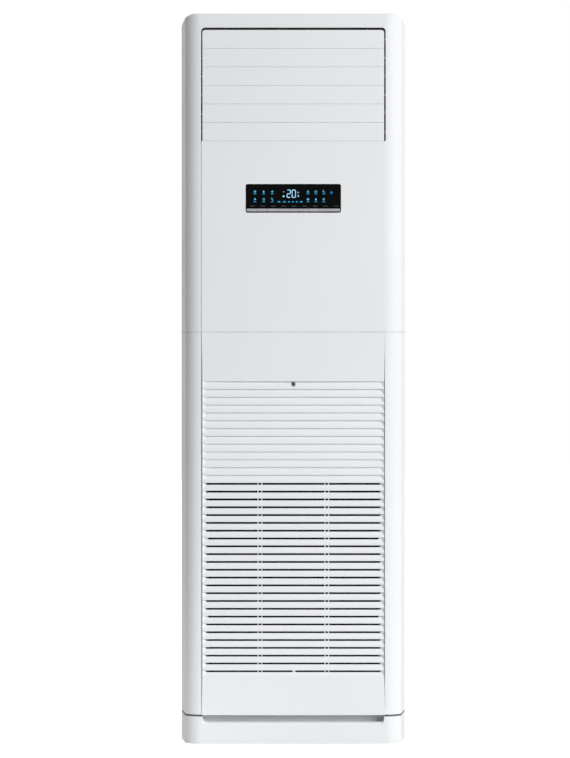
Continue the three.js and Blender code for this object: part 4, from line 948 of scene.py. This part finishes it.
class AIRCO_OT_display(PieceOperator, bpy.types.Operator):
    """Makes the gloss window, the lit digits, pictograms and bars, and the silver keys"""

    bl_idname = "airco.display"
    bl_label = "Display"

    SIGNS = (flake, drop, sun, fan, clock, waves)
    SIGN_SIZE = 3.4
    COLUMNS = (-98.1, -75.8, -54.0, 37.6, 57.9, 77.9)
    SIGN_ROWS = (1414.2, 1394.5)
    BAR_ROWS = (1408.3, 1388.1)
    BAR_SIZE = (7.5, 1.6)
    MIDDLE_BARS = ((-36.6, 7.5), (-22.8, 7.5), (-11.0, 4.9), (-1.3, 4.9), (8.7, 4.9), (20.2, 7.5))
    MIDDLE_HEIGHT = 3.2
    FIGURES = (("2", -11.6), ("0", 1.3))
    FIGURE_ROW, FIGURE_SIZE = 1408.8, (11.0, 21.0, 2.2)
    DOTS = ((-24.8, 1402.1, 2.3), (-24.8, 1413.9, 1.2))
    DEGREE = (12.5, 1411.8, 1.8, 0.7)
    UNIT_BARS = ((13.1, 1402.1, 4.6, 1.6), (13.1, 1404.6, 1.4, 3.4))
    MARKER = (97.6, 1411.6, 4.4)
    LABEL_PITCH, LABEL_SHIFT, LABEL_ROW, LABEL_SIZE = 26.9, 2.3, 1377.0, (11.5, 1.5)
    KEY_ROUNDING = 0.5 * MM

    def signs(self):
        return [
            outline
            for column, x in enumerate(self.COLUMNS)
            for row, z in enumerate(self.SIGN_ROWS)
            for outline in self.SIGNS[(column + 3 * row) % len(self.SIGNS)](x, z, self.SIGN_SIZE)
        ]

    def bars(self):
        places = [(x, z, *self.BAR_SIZE) for x in self.COLUMNS for z in self.BAR_ROWS]
        places += [(x, self.BAR_ROWS[1], wide, self.MIDDLE_HEIGHT) for x, wide in self.MIDDLE_BARS]
        return [outline for place in places for outline in bar(*place)]

    def digits(self):
        shapes = []
        for figure, x in self.FIGURES:
            shapes += digit(figure, x, self.FIGURE_ROW, *self.FIGURE_SIZE)
        for dot in self.DOTS:
            shapes += disc(*dot)
        shapes += ring(*self.DEGREE)
        for place in self.UNIT_BARS:
            shapes += bar(*place)
        return shapes

    def marker(self):
        x, z, size = self.MARKER
        return [[(x - size, z), (x, z - size), (x + size, z), (x, z + size)]]

    def labels(self, count):
        places = [(i - (count - 1) / 2) * self.LABEL_PITCH + self.LABEL_SHIFT for i in range(count)]
        return [outline for x in places for outline in bar(x, self.LABEL_ROW, *self.LABEL_SIZE)]

    def execute(self, context):
        look = context.scene.airco_finishes
        gloss = finish(
            "gloss_window", look.window, 0.06, fine=40, broad=3, depth=0.002, shade=0.9, gloss=0.01,
            specular=0.2,
        )
        silver = finish("silver_lacquer", look.keys, 0.38, metallic=0.35, fine=1800, broad=30, shade=0.93)
        keys = numbered("button", 9)
        dress(gloss, SMALL_EDGE, "display_window")
        dress(silver, self.KEY_ROUNDING, *keys, segments=3)
        dress(board_lacquer(), 0, "display_board")
        front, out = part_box("display_window")[0].y, context.scene.airco_sizes.mark
        for name, shapes, material in (
            ("display_icons", self.signs(), lit("lit_icons", look.icons, 0.62)),
            ("display_bars", self.bars(), lit("lit_bars", look.bars, 0.8)),
            ("display_digits", self.digits(), lit("lit_digits", look.digits, 0.62)),
            ("display_marker", self.marker(), lit("lit_marker", look.marker, 0.55)),
            # The printed labels also get a weak glow through lit(): painted light, as print gives none.
            ("display_labels", self.labels(len(keys)), lit("printed_labels_painted_glow", look.labels, 0.2)),
        ):
            new_piece(name, plates(shapes, front - out, front + out), material)
        return {"FINISHED"}


class AIRCO_OT_works(PieceOperator, bpy.types.Operator):
    """Finishes the fan, the coil, the pipes and the electrics inside"""

    bl_idname = "airco.works"
    bl_label = "Inner Works"

    def execute(self, context):
        plastic = finish("fan_plastic", (0.10, 0.11, 0.12), 0.5, fine=500, shade=0.85)
        fins = finish("coil_fins", (0.62, 0.65, 0.67), 0.4, metallic=0.9, fine=300, broad=20, shade=0.85)
        copper = finish("copper_tube", (0.62, 0.28, 0.14), 0.35, metallic=1, fine=200, broad=18, shade=0.6)
        foam = finish("pan_foam", (0.6, 0.61, 0.62), 0.9, fine=260, depth=0.4, shade=0.9)
        rubber = finish("soft_rubber", (0.014, 0.0145, 0.015), 0.7, fine=400, depth=0.1)
        for material, *names in (
            (galvanised(), "cross_rail", "fan_scroll", "fan_bulkhead", "motor_bracket"),
            (galvanised(), "divider_plate", "control_box"),
            (dark_plastic(), "fan_bellmouth", "fan_motor", "terminal_block"),
            (plastic, "fan_impeller"),
            (fins, "evaporator_coil"),
            (copper, "refrigerant_header", "gas_pipe", "liquid_pipe"),
            (foam, "drain_pan"),
            (rubber, "drain_hose", "pipe_grommet"),
            (board_lacquer(), "control_board"),
        ):
            dress(material, 0, *names, clean=False)
        return {"FINISHED"}


class AIRCO_OT_studio(PieceOperator, bpy.types.Operator):
    """Sets the floor, the lights, the world and the camera"""

    bl_idname = "airco.studio"
    bl_label = "Studio"

    FRAME_HEIGHT = 758
    SENSOR = 36
    SHIFT_X = -8.3
    SHIFT_Y = -28.7
    FAR = 100
    KEY_PLACE = (4.1, -5.4, 2.9)
    KEY_AIM = (0, -0.2, -3.0)
    KEY_SIZE = 4.8
    MIDDLE = (0, FRONT, 0.95)
    FLOOR_REACH = 14
    FLOOR_WHITE = 0.75
    GLOW_PLACES = ((-0.75, -0.35, 0), (0.85, -0.1, 0), (0.1, -0.9, 0))
    GLOW_REACH = 1.1

    def camera(self, studio):
        data = bpy.data.cameras.new("camera")
        data.sensor_width = self.SENSOR
        data.lens = studio.lens
        data.shift_x = self.SHIFT_X / self.FRAME_HEIGHT
        data.shift_y = self.SHIFT_Y / self.FRAME_HEIGHT
        data.clip_end = self.FAR
        camera = add_object("camera", data)
        camera.location = (0, FRONT - studio.distance, studio.eye)
        camera.rotation_euler = (math.radians(90), 0, 0)
        bpy.context.scene.camera = camera

    def key_light(self, studio):
        data = bpy.data.lights.new("key_light", "AREA")
        data.shape = "DISK"
        data.size = self.KEY_SIZE
        lamp = add_object("key_light", data)
        lamp.location = self.KEY_PLACE
        aim, way = (Vector(place) - lamp.location for place in (self.KEY_AIM, self.MIDDLE))
        lamp.rotation_euler = aim.to_track_quat("-Z", "Y").to_euler()
        off_axis = aim.normalized().dot(way.normalized())
        data.energy = studio.key * math.pi ** 2 * (way.length ** 2 + self.KEY_SIZE ** 2 / 4) / off_axis

    def along(self, tree, place, low, high, start, end):
        """A strength that changes smoothly from low to high between two places from front to back."""
        split = add_node(tree, "ShaderNodeSeparateXYZ", {0: place})
        return spread(tree, split.outputs["Y"], low, high, start, end, interpolation_type="SMOOTHSTEP")

    def show(self, tree, output, shown, lights):
        """Ends in one shader for what sees the room directly or in glass, another for what it lights."""
        path = tree.nodes.new("ShaderNodeLightPath").outputs
        sockets = {0: path["Is Camera Ray"], 1: path["Is Transmission Ray"]}
        either = add_node(tree, "ShaderNodeMath", sockets, operation="MAXIMUM")
        sockets = {0: either.outputs[0], 1: lights.outputs[0], 2: shown.outputs[0]}
        mix = add_node(tree, "ShaderNodeMixShader", sockets)
        feed(tree, tree.nodes[output], {"Surface": mix.outputs[0]})

    def world(self, studio):
        world = bpy.data.worlds.new("studio")
        bpy.context.scene.world = world
        world.use_nodes = True
        tree = world.node_tree
        place = tree.nodes.new("ShaderNodeTexCoord").outputs["Generated"]
        soft = tree.nodes["Background"]
        strength = self.along(tree, place, studio.ahead, studio.behind, 0.0, 0.4)
        feed(tree, soft, {"Color": (1, 1, 1, 1), "Strength": strength})
        white = add_node(tree, "ShaderNodeBackground", {"Color": (1, 1, 1, 1)})
        self.show(tree, "World Output", white, soft)

    def floor(self, studio):
        look = finish("pale_floor", (0.86, 0.86, 0.86), 0.8, fine=30, broad=1, depth=0.01, shade=0.99)
        tree = look.node_tree
        white = add_node(tree, "ShaderNodeEmission", {"Strength": self.FLOOR_WHITE})
        sockets = {0: tree.nodes["Principled BSDF"].outputs[0], 1: white.outputs[0]}
        shown = add_node(tree, "ShaderNodeAddShader", sockets)
        place = tree.nodes.new("ShaderNodeTexCoord").outputs["Object"]
        total = self.along(tree, place, studio.floor_ahead, studio.floor_behind, 0.1, 1.3)
        glows = (studio.glow_left, studio.glow_right, studio.glow_front)
        for middle, strength in zip(self.GLOW_PLACES, glows):
            away = add_node(tree, "ShaderNodeVectorMath", {0: place, 1: middle}, operation="DISTANCE")
            value = away.outputs["Value"]
            glow = spread(tree, value, strength, 0, 0, self.GLOW_REACH, interpolation_type="SMOOTHSTEP")
            total = add_node(tree, "ShaderNodeMath", {0: total, 1: glow}).outputs[0]
        lights = add_node(tree, "ShaderNodeEmission", {"Strength": total})
        self.show(tree, "Material Output", shown, lights)
        made = bmesh.new()
        bmesh.ops.create_grid(made, x_segments=8, y_segments=8, size=self.FLOOR_REACH)
        mesh = mesh_from(made, "floor")
        mesh.materials.append(look)
        add_object("floor", mesh)

    def execute(self, context):
        studio = context.scene.airco_studio
        self.camera(studio)
        self.key_light(studio)
        self.world(studio)
        self.floor(studio)
        context.scene.view_settings.view_transform = "Standard"
        return {"FINISHED"}


class AIRCO_PT_panel(bpy.types.Panel):
    """Lists the settings and the operators"""

    bl_idname = "AIRCO_PT_panel"
    bl_label = "Air Conditioner"
    bl_space_type = "VIEW_3D"
    bl_region_type = "UI"
    bl_category = "Air Conditioner"

    def draw(self, context):
        for name in SETTINGS:
            group, box = getattr(context.scene, name), self.layout.box()
            for key in group.__annotations__:
                box.prop(group, key)
        for operator in OPERATORS:
            self.layout.operator(operator.bl_idname)


OPERATORS = (
    AIRCO_OT_studio,
    AIRCO_OT_front_frame,
    AIRCO_OT_columns,
    AIRCO_OT_plinth,
    AIRCO_OT_casing,
    AIRCO_OT_front,
    AIRCO_OT_blades,
    AIRCO_OT_display,
    AIRCO_OT_works,
)
SETTINGS = {
    "airco_finishes": AircoFinishes,
    "airco_sizes": AircoSizes,
    "airco_studio": AircoStudio,
}


def register():
    for cls in (*SETTINGS.values(), *OPERATORS, AIRCO_PT_panel):
        bpy.utils.register_class(cls)
    for name, cls in SETTINGS.items():
        setattr(bpy.types.Scene, name, bpy.props.PointerProperty(type=cls))


def unregister():
    for name in SETTINGS:
        delattr(bpy.types.Scene, name)
    for cls in reversed((*SETTINGS.values(), *OPERATORS, AIRCO_PT_panel)):
        bpy.utils.unregister_class(cls)


def main():
    register()
    for operator in OPERATORS:
        area, name = operator.bl_idname.split(".")
        getattr(getattr(bpy.ops, area), name)()


if __name__ == "__main__":
    main()
